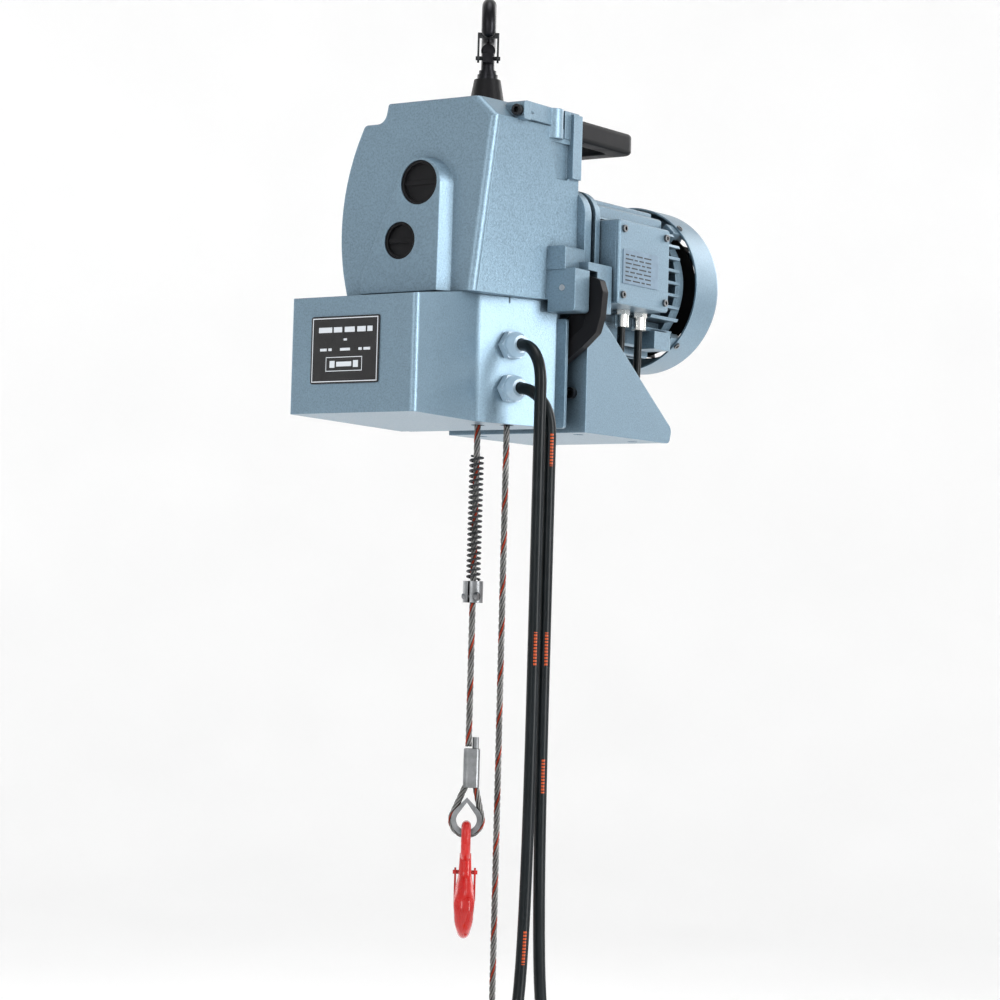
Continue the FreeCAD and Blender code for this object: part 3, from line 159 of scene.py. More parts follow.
def slack_route():
    """The slack strand, ten turns of a tied coil, and the tapered end below it."""
    radii = [COIL_R + ROW_PITCH * row for _, row in COIL_SLOTS]
    first_y = COIL_CENTRE.y - radii[0]
    first_x = COIL_CENTRE.x + COIL_SLOTS[0][0] * PITCH
    rows = [(29.0, 8.0, -403.0), (29.0, 8.0, -440.0), (first_x, first_y, -960.0),
            (first_x, first_y, -1006.0), (first_x, first_y, -1032.0)]
    for k in range(1, TURN_POINTS * len(COIL_SLOTS)):
        t = k / TURN_POINTS
        i = min(int(t), len(COIL_SLOTS) - 1)
        j = min(i + 1, len(COIL_SLOTS) - 1)
        blend = t - i
        column = COIL_SLOTS[i][0] + (COIL_SLOTS[j][0] - COIL_SLOTS[i][0]) * blend
        radius = (radii[i] + (radii[j] - radii[i]) * blend) / CUT_INSIDE
        a = 2.0 * math.pi * t
        rows.append((COIL_CENTRE.x + column * PITCH, COIL_CENTRE.y - radius * math.cos(a),
                     COIL_CENTRE.z - radius * math.sin(a)))
    x, y = COIL_CENTRE.x + COIL_SLOTS[-1][0] * PITCH, COIL_CENTRE.y - radii[-1]
    rows += [(x, y, COIL_CENTRE.z - 4.0), (x - 3.0, y + 1.0, COIL_CENTRE.z - 34.0),
             (x - 5.0, y + 1.0, COIL_CENTRE.z - 70.0)]
    return points_mm(rows)


def nurbs(name, points, bevel=0.0):
    """A smooth open curve with the points as its control points."""
    data = bpy.data.curves.new(name, "CURVE")
    data.dimensions = "3D"
    data.bevel_depth = bevel
    data.bevel_resolution = 5
    data.use_fill_caps = bevel > 0.0
    data.resolution_u = 10
    spline = data.splines.new("NURBS")
    spline.points.add(len(points) - 1)
    for point, p in zip(spline.points, points):
        point.co = (*p, 1.0)
    spline.order_u = 3
    spline.use_endpoint_u = True
    spline.resolution_u = 10
    obj = bpy.data.objects.new(name, data)
    scene.collection.objects.link(obj)
    return obj


def line_of(points):
    """Points along the smooth curve through a route."""
    obj = nurbs("route", points)
    graph = bpy.context.evaluated_depsgraph_get()
    graph.update()
    mesh = bpy.data.meshes.new_from_object(obj.evaluated_get(graph))
    line = [v.co.copy() for v in mesh.vertices]
    bpy.data.meshes.remove(mesh)
    bpy.data.objects.remove(obj)
    return line


def length_of(line):
    """Length of a line of points."""
    return sum((b - a).length for a, b in zip(line, line[1:]))


def resample(line, step):
    """Evenly spaced points along a line, ends included."""
    total = length_of(line)
    count = max(2, int(round(total / step)))
    out = [line[0].copy()]
    walked, k = 0.0, 1
    for a, b in zip(line, line[1:]):
        run = (b - a).length
        while k < count and walked + run >= total * k / count:
            out.append(a.lerp(b, (total * k / count - walked) / max(run, 1e-9)))
            k += 1
        walked += run
    out.append(line[-1].copy())
    return out


def carried_frames(line):
    """(tangent, normal, binormal) at each point, without twist."""
    frames = []
    normal = None
    for k, p in enumerate(line):
        a = line[max(k - 1, 0)]
        b = line[min(k + 1, len(line) - 1)]
        tangent = (b - a).normalized()
        if normal is None:
            normal = tangent.orthogonal().normalized()
        normal = (normal - tangent * normal.dot(tangent)).normalized()
        frames.append((tangent, normal, tangent.cross(normal)))
    return frames


def mesh_object(name, verts, faces, materials, face_slots=None):
    """A smooth-shaded mesh; face_slots gives each face's material."""
    mesh = bpy.data.meshes.new(name)
    mesh.from_pydata([tuple(v) for v in verts], [], faces)
    for material in materials:
        mesh.materials.append(material)
    if face_slots:
        for polygon, index in zip(mesh.polygons, face_slots):
            polygon.material_index = index
    for polygon in mesh.polygons:
        polygon.use_smooth = True
    mesh.validate()
    obj = bpy.data.objects.new(name, mesh)
    scene.collection.objects.link(obj)
    return obj


def tube_faces(start, rings, sides):
    """Faces of a closed tube whose rings of vertices begin at start."""
    faces = []
    for r in range(rings - 1):
        for s in range(sides):
            t = (s + 1) % sides
            a, b = start + r * sides, start + (r + 1) * sides
            faces.append((a + s, a + t, b + t, b + s))
    faces.append(tuple(start + s for s in reversed(range(sides))))
    faces.append(tuple(start + (rings - 1) * sides + s for s in range(sides)))
    return faces


STRANDS = 6


def wire_rope(name, line, diameter, materials, steps_per_lay=14, sides=8):
    """Six strands laid round a core; the first strand carries the marker colour."""
    line = resample(line, ROPE_LAY / steps_per_lay)
    frames = carried_frames(line)
    strand = diameter / 6.0
    verts, faces, slots = [], [], []
    for k in range(STRANDS + 1):
        offset = 0.0 if k == STRANDS else diameter / 3.0
        start = len(verts)
        for n, (p, (tangent, normal, binormal)) in enumerate(zip(line, frames)):
            a = 2.0 * math.pi * (n / steps_per_lay + k / STRANDS)
            out = normal * math.cos(a) + binormal * math.sin(a)
            centre = p + out * offset
            lean = (tangent + out.cross(tangent) * (-2.0 * math.pi * offset / ROPE_LAY)).normalized()
            across = lean.cross(out).normalized()
            for s in range(sides):
                b = 2.0 * math.pi * s / sides
                verts.append(centre + (out * math.cos(b) + across * math.sin(b)) * strand * 0.96)
        added = tube_faces(start, len(line), sides)
        faces += added
        slots += [1 if k == 0 else 0] * len(added)
    return mesh_object(name, verts, faces, materials, slots)


# ---- materials ----
AO_SAMPLES = 6
BEVEL_SAMPLES = 6


def new_material(name):
    """A material, its node tree and its shader."""
    material = bpy.data.materials.new(name)
    material.use_nodes = True
    tree = material.node_tree
    shader = tree.nodes["Principled BSDF"]
    return material, tree, shader


def node(tree, kind, **inputs):
    """A node with its inputs set by name."""
    made = tree.nodes.new(kind)
    for key, value in inputs.items():
        made.inputs[key].default_value = value
    return made


def coords(tree):
    """Object coordinates, in metres."""
    return tree.nodes.new("ShaderNodeTexCoord").outputs["Object"]


def noise(tree, scale, detail=3.0, roughness=0.55, vector=None):
    """Noise with scale features to the metre."""
    made = node(tree, "ShaderNodeTexNoise", Scale=scale, Detail=detail, Roughness=roughness)
    tree.links.new(vector if vector is not None else coords(tree), made.inputs["Vector"])
    return made.outputs["Fac"]


def ramp(tree, fac, low, high, a, b):
    """A colour that runs from a to b as fac goes from low to high."""
    made = tree.nodes.new("ShaderNodeValToRGB")
    made.color_ramp.elements[0].position = low
    made.color_ramp.elements[1].position = high
    made.color_ramp.elements[0].color = a
    made.color_ramp.elements[1].color = b
    tree.links.new(fac, made.inputs["Fac"])
    return made.outputs["Color"]


def mixed(tree, fac, a, b, blend="MIX"):
    """Two colours mixed; each input is a value or a socket."""
    made = tree.nodes.new("ShaderNodeMix")
    made.data_type = "RGBA"
    made.blend_type = blend
    for socket, value in ((made.inputs["Factor"], fac), (made.inputs["A"], a), (made.inputs["B"], b)):
        if isinstance(value, (int, float, tuple)):
            socket.default_value = value
        else:
            tree.links.new(value, socket)
    return made.outputs["Result"]


def maths(tree, operation, a, b=0.0):
    """One step of arithmetic; each input is a value or a socket."""
    made = tree.nodes.new("ShaderNodeMath")
    made.operation = operation
    for socket, value in zip(made.inputs, (a, b)):
        if isinstance(value, (int, float)):
            socket.default_value = value
        else:
            tree.links.new(value, socket)
    return made.outputs["Value"]


def bumped(tree, shader, height, strength, distance, edge=0.0):
    """Bump from a height, over edges softened by the edge radius."""
    made = node(tree, "ShaderNodeBump", Strength=strength, Distance=distance)
    tree.links.new(height, made.inputs["Height"])
    if edge > 0.0:
        rounder = node(tree, "ShaderNodeBevel", Radius=edge)
        rounder.samples = BEVEL_SAMPLES
        tree.links.new(rounder.outputs["Normal"], made.inputs["Normal"])
    tree.links.new(made.outputs["Normal"], shader.inputs["Normal"])


def edge_mask(tree, radius, low=0.02, high=0.35):
    """1 near sharp edges, 0 on flat faces."""
    rounder = node(tree, "ShaderNodeBevel", Radius=radius)
    rounder.samples = BEVEL_SAMPLES
    geometry = tree.nodes.new("ShaderNodeNewGeometry")
    dot = tree.nodes.new("ShaderNodeVectorMath")
    dot.operation = "DOT_PRODUCT"
    tree.links.new(rounder.outputs["Normal"], dot.inputs[0])
    tree.links.new(geometry.outputs["Normal"], dot.inputs[1])
    away = maths(tree, "SUBTRACT", 1.0, dot.outputs["Value"])
    spread = tree.nodes.new("ShaderNodeMapRange")
    spread.inputs["From Min"].default_value = low
    spread.inputs["From Max"].default_value = high
    tree.links.new(away, spread.inputs["Value"])
    return spread.outputs["Result"]


def painted_hollow_shade(tree, base, distance, low, high, dark):
    """The base colour with painted shade: darker in hollows that are about the distance deep."""
    hollow = node(tree, "ShaderNodeAmbientOcclusion", Distance=distance)
    hollow.samples = AO_SAMPLES
    return mixed(tree, 1.0, base, ramp(tree, hollow.outputs["AO"], low, high, dark, WHITE), "MULTIPLY")


def grey(value):
    return (value, value, value, 1.0)


def scaled(color, k):
    """A colour made k times brighter, with alpha 1."""
    return (min(color[0] * k, 1.0), min(color[1] * k, 1.0), min(color[2] * k, 1.0), 1.0)


def paint(name, color, grain, rough=0.42, metallic=0.35, edge=0.0012, grain_strength=0.5, rubbing_and_highlight=0.35):
    """Metallic hammered or powder-coat paint with fine speckle, painted shade in its hollows, and edges
    lightened partly by rubbing and partly by a painted highlight.
    """
    material, tree, shader = new_material(name)
    speckle = noise(tree, grain, 2.0, 0.7)
    broad = noise(tree, 9.0, 4.0, 0.6)
    base = ramp(tree, speckle, 0.33, 0.68, scaled(color, 0.80), scaled(color, 1.22))
    base = mixed(tree, 0.22, base, ramp(tree, broad, 0.3, 0.7, scaled(color, 0.82), scaled(color, 1.14)))
    # edges lightened partly by rubbing and partly by a painted highlight
    rubbed_and_highlit = maths(tree, "MULTIPLY", edge_mask(tree, edge),
                 maths(tree, "MULTIPLY", noise(tree, 60.0, 4.0), rubbing_and_highlight))
    # painted shade: darker in hollows about 22 mm deep
    base = painted_hollow_shade(tree, base, 0.022, 0.15, 0.8, (0.22, 0.25, 0.27, 1.0))
    base = mixed(tree, rubbed_and_highlit, base, scaled(color, 2.4))
    tree.links.new(base, shader.inputs["Base Color"])
    shader.inputs["Metallic"].default_value = metallic
    tree.links.new(ramp(tree, speckle, 0.3, 0.7, grey(rough - 0.07), grey(rough + 0.1)),
                   shader.inputs["Roughness"])
    shader.inputs["Coat Weight"].default_value = 0.12
    shader.inputs["Coat Roughness"].default_value = 0.3
    height = maths(tree, "ADD", speckle, maths(tree, "MULTIPLY", noise(tree, grain * 2.6, 2.0), 0.5))
    bumped(tree, shader, height, grain_strength, 0.0004, edge)
    return material


def plastic(name, color, rough=0.45, grain=1400.0, strength=0.18, edge=0.0008, gloss=0.0, specular=0.5):
    """Moulded plastic or rubber with a fine grain and faint handling marks."""
    material, tree, shader = new_material(name)
    marks = noise(tree, 26.0, 5.0, 0.65)
    base = ramp(tree, marks, 0.35, 0.75, scaled(color, 0.88), scaled(color, 1.25))
    tree.links.new(base, shader.inputs["Base Color"])
    tree.links.new(ramp(tree, marks, 0.3, 0.75, grey(rough - 0.06), grey(rough + 0.12)),
                   shader.inputs["Roughness"])
    shader.inputs["Coat Weight"].default_value = gloss
    shader.inputs["Specular IOR Level"].default_value = specular
    bumped(tree, shader, noise(tree, grain, 3.0), strength, 0.0002, edge)
    return material


def metal(name, color, rough=0.35, stretch=(1.0, 1.0, 1.0), grain=500.0, dirt=0.3, painted_shade_depth=0.0):
    """Bare or plated metal with fine marks and a little dirt, and painted shade in its narrow hollows."""
    material, tree, shader = new_material(name)
    mapping = node(tree, "ShaderNodeMapping")
    mapping.inputs["Scale"].default_value = stretch
    tree.links.new(coords(tree), mapping.inputs["Vector"])
    marks = noise(tree, grain, 4.0, 0.6, mapping.outputs["Vector"])
    stains = noise(tree, 45.0, 5.0, 0.65)
    base = ramp(tree, stains, 0.35, 0.7, scaled(color, 1.0 - dirt), scaled(color, 1.1))
    base = mixed(tree, 0.25, base, ramp(tree, marks, 0.3, 0.7, scaled(color, 0.75), scaled(color, 1.2)))
    if painted_shade_depth > 0.0:
        # painted shade: darker in narrow hollows, from ambient occlusion
        base = painted_hollow_shade(tree, base, painted_shade_depth, 0.35, 0.95, grey(0.02))
    tree.links.new(base, shader.inputs["Base Color"])
    shader.inputs["Metallic"].default_value = 1.0
    tree.links.new(ramp(tree, stains, 0.3, 0.75, grey(rough + 0.14), grey(rough - 0.05)),
                   shader.inputs["Roughness"])
    bumped(tree, shader, marks, 0.12, 0.0002, 0.0004)
    return material


SILVER = (0.160, 0.240, 0.304)
MAT = {
    "silver_paint": paint("silver_paint", SILVER, 620.0, rough=0.36, metallic=0.6),
    "cast_paint": paint("cast_paint", SILVER, 520.0, rough=0.38, metallic=0.6, grain_strength=0.6),
    "black_plastic": plastic("black_plastic", (0.006, 0.006, 0.007), 0.42, 900.0, 0.3, specular=0.14),
    "black_steel": metal("black_steel", (0.022, 0.022, 0.025), 0.3, dirt=0.5),
    "steel": metal("steel", (0.50, 0.50, 0.51), 0.3, (1.0, 6.0, 1.0)),
    "dark_steel": metal("dark_steel", (0.055, 0.057, 0.06), 0.3, dirt=0.5, painted_shade_depth=0.004),
    "zinc": metal("zinc", (0.27, 0.28, 0.29), 0.3, grain=260.0, dirt=0.6, painted_shade_depth=0.006),
    "nickel": metal("nickel", (0.72, 0.72, 0.70), 0.2, (8.0, 8.0, 1.0), dirt=0.15),
    "rope": metal("rope", (0.23, 0.23, 0.225), 0.32, grain=900.0, dirt=0.6, painted_shade_depth=0.002),
    "rope_marker": metal("rope_marker", (0.32, 0.05, 0.03), 0.45, grain=900.0, dirt=0.4, painted_shade_depth=0.002),
    "red_paint": plastic("red_paint", (0.42, 0.005, 0.003), 0.22, 300.0, 0.1, 0.0006, 0.15, 0.4),
    "grey_plastic": plastic("grey_plastic", (0.30, 0.42, 0.52), 0.36, gloss=0.3),
    "cable": plastic("cable", (0.004, 0.006, 0.007), 0.3, 700.0, 0.12, 0.0, 0.0, 0.16),
    "copper": metal("copper", (0.42, 0.24, 0.13), 0.4, dirt=0.5),
    "iron": metal("iron", (0.24, 0.24, 0.24), 0.42, grain=300.0, dirt=0.4),
    "yellow": plastic("yellow", (0.62, 0.36, 0.015), 0.38, gloss=0.2),
    "white": plastic("white", (0.72, 0.72, 0.70), 0.35, gloss=0.2),
    "red_plastic": plastic("red_plastic", (0.55, 0.015, 0.012), 0.3, gloss=0.4),
}


# ---- printed plates: generic bars and blocks only, no lettering ----
def bar_mask(tree, across, up, bars):
    """1 inside any of the bars (a0, a1, b0, b1), given in metres on two row axes."""
    split = tree.nodes.new("ShaderNodeSeparateXYZ")
    tree.links.new(coords(tree), split.inputs["Vector"])
    total = None
    for a0, a1, b0, b1 in bars:
        inside = maths(tree, "GREATER_THAN", split.outputs[across], a0)
        for part in (maths(tree, "LESS_THAN", split.outputs[across], a1),
                     maths(tree, "GREATER_THAN", split.outputs[up], b0),
                     maths(tree, "LESS_THAN", split.outputs[up], b1)):
            inside = maths(tree, "MULTIPLY", inside, part)
        total = inside if total is None else maths(tree, "MAXIMUM", total, inside)
    return total


def plate_material(name, ground, ink, across, up, bars, rough, metallic):
    """A printed metal plate: ink in the bars, on a slightly stained ground."""
    material, tree, shader = new_material(name)
    field = ramp(tree, noise(tree, 90.0, 5.0), 0.3, 0.75, scaled(ground, 0.85), scaled(ground, 1.15))
    color = mixed(tree, bar_mask(tree, across, up, bars), field, scaled(ink, 1.0))
    tree.links.new(color, shader.inputs["Base Color"])
    shader.inputs["Metallic"].default_value = metallic
    shader.inputs["Roughness"].default_value = rough
    bumped(tree, shader, noise(tree, 1200.0, 2.0), 0.1, 0.0001, 0.0004)
    return material


def nameplate_bars():
    """A border, a broken title bar, two short lines, a small block and a framed emblem block."""
    x0, x1, z0, z1 = -0.0955, -0.0175, -0.3725, -0.3115
    line = 0.0009
    bars = [(x0, x1, z0, z0 + line), (x0, x1, z1 - line, z1),
            (x0, x0 + line, z0, z1), (x1 - line, x1, z0, z1)]
    for a, b in ((-0.088, -0.072), (-0.070, -0.060), (-0.057, -0.045), (-0.042, -0.032), (-0.030, -0.024)):
        bars.append((a, b, -0.3255, -0.3205))
    bars.append((-0.058, -0.054, -0.3335, -0.3315))
    for a, b in ((-0.086, -0.078), (-0.076, -0.072), (-0.062, -0.050), (-0.040, -0.036), (-0.034, -0.026)):
        bars.append((a, b, -0.3430, -0.3405))
    bars += [(-0.078, -0.036, -0.3495, -0.3488), (-0.078, -0.036, -0.3625, -0.3618),
             (-0.0787, -0.078, -0.3625, -0.3488), (-0.036, -0.0353, -0.3625, -0.3488),
             (-0.074, -0.068, -0.3590, -0.3525), (-0.066, -0.048, -0.3580, -0.3535),
             (-0.046, -0.040, -0.3590, -0.3525)]
    return bars


def rating_bars():
    """Seven rows of four dashes of varied length."""
    bars = []
    for row in range(7):
        z = -0.2285 - 0.0042 * row
        start = 0.105
        for k in range(4):
            width = 0.006 + 0.0025 * ((row * 3 + k * 5) % 4)
            bars.append((start, start + width, z - 0.0014, z))
            start += width + 0.0028
    return bars


MAT["nameplate"] = plate_material("nameplate", (0.012, 0.012, 0.013), (0.62, 0.66, 0.70), 0, 2,
                                  nameplate_bars(), 0.25, 0.2)
MAT["rating"] = plate_material("rating", (0.17, 0.24, 0.31), (0.03, 0.035, 0.04), 1, 2,
                               rating_bars(), 0.35, 0.6)


def cable_print(name, z_values):
    """Black cable sheath with short orange printed dashes on the side that faces out."""
    material, tree, shader = new_material(name)
    marks = noise(tree, 26.0, 5.0, 0.65)
    sheath = ramp(tree, marks, 0.35, 0.75, (0.003, 0.005, 0.006, 1.0), (0.007, 0.010, 0.012, 1.0))
    split = tree.nodes.new("ShaderNodeSeparateXYZ")
    tree.links.new(coords(tree), split.inputs["Vector"])
    height = split.outputs[2]
    total = None
    for z in z_values:
        near = maths(tree, "LESS_THAN", maths(tree, "ABSOLUTE", maths(tree, "ADD", height, -z)), 0.016)
        total = near if total is None else maths(tree, "MAXIMUM", total, near)
    dashes = maths(tree, "GREATER_THAN", maths(tree, "FRACT", maths(tree, "MULTIPLY", height, 330.0)), 0.38)
    geometry = tree.nodes.new("ShaderNodeNewGeometry")
    facing = tree.nodes.new("ShaderNodeVectorMath")
    facing.operation = "DOT_PRODUCT"
    facing.inputs[1].default_value = (0.80, -0.60, 0.0)
    tree.links.new(geometry.outputs["Normal"], facing.inputs[0])
    band = maths(tree, "GREATER_THAN", facing.outputs["Value"], 0.955)
    mask = maths(tree, "MULTIPLY", maths(tree, "MULTIPLY", total, dashes), band)
    tree.links.new(mixed(tree, mask, sheath, (0.36, 0.055, 0.012, 1.0)), shader.inputs["Base Color"])
    shader.inputs["Roughness"].default_value = 0.3
    shader.inputs["Specular IOR Level"].default_value = 0.16
    bumped(tree, shader, noise(tree, 500.0, 3.0), 0.12, 0.0002)
    return material


SLOT_OF = {row["node"]: row["material_slot"] for row in frame["record"]["subparts"]}
LOOK_OF = {"bronze": "iron", "plate": "nameplate"}
SPECIAL = {"rating_plate": "rating", "buffer_spring": "dark_steel", "load_latch": "red_paint",
           "suspension_latch": "dark_steel", "cap_screws": "dark_steel"}

for name, obj in NODES.items():
    look = SPECIAL.get(name) or LOOK_OF.get(SLOT_OF[name], SLOT_OF[name])
    obj.data.materials.clear()
    obj.data.materials.append(MAT[look])
    for polygon in obj.data.polygons:
        polygon.material_index = 0


def shade(obj, angle=32.0):
    """Smooth shading that keeps edges sharper than the angle."""
    bpy.context.view_layer.objects.active = obj
    obj.select_set(True)
    bpy.ops.object.shade_smooth_by_angle(angle=math.radians(angle))
    obj.select_set(False)


def bevel(obj, width):
    """Small rounds on the sharp edges."""
    made = obj.modifiers.new("edge", "BEVEL")
    made.width = width
    made.segments = 2
    made.limit_method = "ANGLE"
    made.angle_limit = math.radians(40.0)


# ---- cords ----
def bevelled_cord(name, route, diameter, material, node_name):
    """A round cable on its route, in place of its CAD node."""
    obj = nurbs(name, route, diameter / 2.0)
    obj.data.materials.append(material)
    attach(obj, "hoist")
    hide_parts(node_name)
    length = length_of(line_of(route))


bevelled_cord("control_cord", control_route(), CABLE_D,
              cable_print("control_sheath", (-0.62, -0.90)), "control_cable")
bevelled_cord("supply_cord", supply_route(), CABLE_D,
              cable_print("supply_sheath", (-0.43, -0.62, -0.74)), "supply_cable")
bevelled_cord("motor_lead", lead_route((68, 148), (46, -362.7), 0), LEAD_D,
              MAT["cable"], "motor_cable")
bevelled_cord("brake_lead", lead_route((68, 180), (46, -380.7), 8), LEAD_D,
              MAT["cable"], "brake_cable")

ROPE_LOOK = [MAT["rope"], MAT["rope_marker"]]
slack_line = line_of(slack_route())
slack = wire_rope("slack_strands", slack_line, ROPE_D, ROPE_LOOK, 12, 6)
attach(slack, "hoist")
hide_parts("slack_rope", "rope_coil")


def ring_band(name, centre, axis, radius, width, thickness, material):
    """A flat band round a bundle: a strap with rounded edges."""
    sides = 40
    axis = axis.normalized()
    first = axis.orthogonal().normalized()
    second = axis.cross(first)
    section = []
    for k in range(12):
        a = 2.0 * math.pi * k / 12
        section.append((thickness / 2 * math.cos(a),
                        width / 2 * math.copysign(abs(math.sin(a)) ** 0.5, math.sin(a))))
    verts, faces = [], []
    for s in range(sides):
        b = 2.0 * math.pi * s / sides
        out = first * math.cos(b) + second * math.sin(b)
        for r, w in section:
            verts.append(centre + out * (radius + r) + axis * w)
    count = len(section)
    for s in range(sides):
        t = (s + 1) % sides
        for k in range(count):
            m = (k + 1) % count
            faces.append((s * count + k, s * count + m, t * count + m, t * count + k))
    return mesh_object(name, verts, faces, [material])


for k, angle in enumerate((35.0, 150.0, 270.0)):      # degrees round the coil
    a = math.radians(angle)
    centre = (COIL_CENTRE + Vector((0, -COIL_R * math.cos(a), -COIL_R * math.sin(a)))) * MM
    along = Vector((0, math.sin(a), -math.cos(a)))
    tie = ring_band(f"coil_tie_{k + 1}", centre, along, 0.0125, 0.0055, 0.0016, MAT["black_plastic"])
    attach(tie, "hoist")


def cone(name, base, tip, r0, r1, material):
    """A tapered end cap with a rounded nose."""
    sides = 24
    axis = (tip - base).normalized()
    first = axis.orthogonal().normalized()
    second = axis.cross(first)
    verts, rings = [], ((0.0, r0), (0.5, (r0 + r1) / 2), (0.9, r1), (1.0, r1 * 0.5))
    for t, r in rings:
        for s in range(sides):
            b = 2.0 * math.pi * s / sides
            verts.append(base.lerp(tip, t) + (first * math.cos(b) + second * math.sin(b)) * r)
    return mesh_object(name, verts, tube_faces(0, len(rings), sides), [material])


rope_end = slack_line[-1]
tip = cone("rope_tip", rope_end + Vector((0, 0, 0.003)), rope_end + Vector((0, 0, -0.009)), 0.0033, 0.0016,
           MAT["zinc"])
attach(tip, "hoist")

# the hanging load rope: a straight run down from the casing, baked where it hangs
load_line = [Vector((0, 0, -0.292)) + Vector((0, 0, -0.004)) * k for k in range(107)]
load_rope = wire_rope("load_strands", load_line, ROPE_D, ROPE_LOOK, 14, 8)
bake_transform(load_rope)
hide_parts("load_rope")


EYE_R, EYE_CENTRE = 14.75, -787.0
EYE_APEX, EYE_TOP = -756.0, -750.0      # the legs' tangent lines start at the apex
LEG_GAP = 6.8                           # between the legs where they enter the ferrule


def touch_angle(u, side):
    """Where a line from the apex at u touches the round, on the given side."""
    height = EYE_APEX - EYE_CENTRE
    return math.atan2(height, u) + side * math.acos(EYE_R / math.hypot(u, height))


def eye_line():
    """The rope's loop below the ferrule: two straight legs tangent to the round."""
    radius, low = EYE_R, EYE_CENTRE
    left, right = touch_angle(0.0, 1), touch_angle(LEG_GAP, -1)
    rows = []
    for k in range(8):
        t = k / 8
        rows.append((radius * math.cos(left) * t,
                     EYE_TOP + (low + radius * math.sin(left) - EYE_TOP) * t))
    span = 2.0 * math.pi - (left - right)
    for k in range(41):
        a = left + span * k / 40
        rows.append((radius * math.cos(a), low + radius * math.sin(a)))
    end = rows[-1]
    for k in range(1, 9):
        t = k / 8
        rows.append((end[0] + (LEG_GAP - end[0]) * t, end[1] + (EYE_TOP - end[1]) * t))
    return [TURN @ (Vector((u, 0, z)) * MM) for u, z in rows]


eye = wire_rope("eye_strands", eye_line(), ROPE_D * 0.985, ROPE_LOOK, 16, 8)
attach(eye, "load_end")
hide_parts("rope_eye")


# ---- the load hook: forged bowl, neck, link and latch lug ----
HOOK_RING = (-872.0, 21.0)      # the bowl's centre height and radius, millimetres
RING_SIDES = 28
LINK_R = 4.6
LUG_HEIGHT = -838.0
# (how far along the hook, half width across it, half depth in its plane)
HOOK_SECTION = ((0.0, 5.6, 5.6), (0.14, 6.2, 6.0), (0.28, 9.0, 7.4), (0.40, 10.2, 8.0), (0.52, 9.2, 8.2),
                (0.66, 6.6, 8.2), (0.80, 5.6, 6.8), (0.965, 4.4, 5.0), (0.99, 3.0, 3.4), (1.0, 1.0, 1.2))


def smooth_step(a, b, t):
    """From a to b, level at both ends."""
    return a + (b - a) * t * t * (3.0 - 2.0 * t)


def section_at(t):
    """Half width across the hook and half depth in its plane at t along it."""
    for (t0, w0, d0), (t1, w1, d1) in zip(HOOK_SECTION, HOOK_SECTION[1:]):
        if t <= t1:
            k = (t - t0) / (t1 - t0)
            return smooth_step(w0, w1, k), smooth_step(d0, d1, k)
    return HOOK_SECTION[-1][1:]


def hook_path():
    """Centre line from the neck into the bowl and round to the tip, in the hook's plane."""
    low, r = HOOK_RING
    rows = [(0.0, -819.0 - 2.0 * k) for k in range(9)]
    a = math.radians(165.0)
    end = (r * math.cos(a), low + r * math.sin(a))
    heading = (-math.sin(a), math.cos(a))
    p = ((0.0, -837.0), (0.0, -850.0), (end[0] - 9.0 * heading[0], end[1] - 9.0 * heading[1]), end)
    for k in range(12):
        t = k / 12
        b = ((1 - t) ** 3, 3 * t * (1 - t) ** 2, 3 * t * t * (1 - t), t ** 3)
        rows.append(tuple(sum(w * q[i] for w, q in zip(b, p)) for i in (0, 1)))
    for k in range(53):
        a = math.radians(165.0 + 4.0 * k)
        rows.append((r * math.cos(a), low + r * math.sin(a)))
    return rows


def plane_rings(rows, sections, power=1.0):
    """Rings of a bar along rows (y, z) in the hook's plane, with given half sizes."""
    verts = []
    for k, (y, z) in enumerate(rows):
        a, b = rows[max(k - 1, 0)], rows[min(k + 1, len(rows) - 1)]
        run = Vector((0.0, b[0] - a[0], b[1] - a[1])).normalized()
        inward = Vector((0.0, -run.z, run.y))
        wide, deep = sections[k]
        for s in range(RING_SIDES):
            u = 2.0 * math.pi * s / RING_SIDES
            c, d = math.cos(u), math.sin(u)
            across = math.copysign(abs(c) ** power, c) * wide
            inplane = math.copysign(abs(d) ** power, d) * deep
            verts.append(TURN @ ((Vector((0.0, y, z)) + Vector((across, 0, 0)) + inward * inplane) * MM))
    return verts


def add_bowl(verts, faces):
    """The neck and bowl."""
    rows = hook_path()
    runs = [0.0]
    for a, b in zip(rows, rows[1:]):
        runs.append(runs[-1] + math.hypot(b[0] - a[0], b[1] - a[1]))
    verts += plane_rings(rows, [section_at(run / runs[-1]) for run in runs])
    faces += tube_faces(0, len(rows), RING_SIDES)


def add_link(verts, faces):
    """The link: a round bar bent to a rounded oblong."""
    rows = []
    for cy, cz, r, first in ((6.0, -799.3, 7.0, 0.0), (-6.0, -799.3, 7.0, 90.0),
                             (-2.0, -811.0, 11.0, 180.0), (2.0, -811.0, 11.0, 270.0)):
        for k in range(9):
            a = math.radians(first + 90.0 * k / 8)
            rows.append((cy + r * math.cos(a), cz + r * math.sin(a)))
    start = len(verts)
    closed = [rows[-1]] + rows + [rows[0]]
    verts += plane_rings(closed, [(LINK_R, LINK_R)] * len(closed))[RING_SIDES:-RING_SIDES]
    for k in range(len(rows)):
        n = (k + 1) % len(rows)
        for m in range(RING_SIDES):
            t = (m + 1) % RING_SIDES
            faces.append((start + k * RING_SIDES + m, start + k * RING_SIDES + t,
                          start + n * RING_SIDES + t, start + n * RING_SIDES + m))


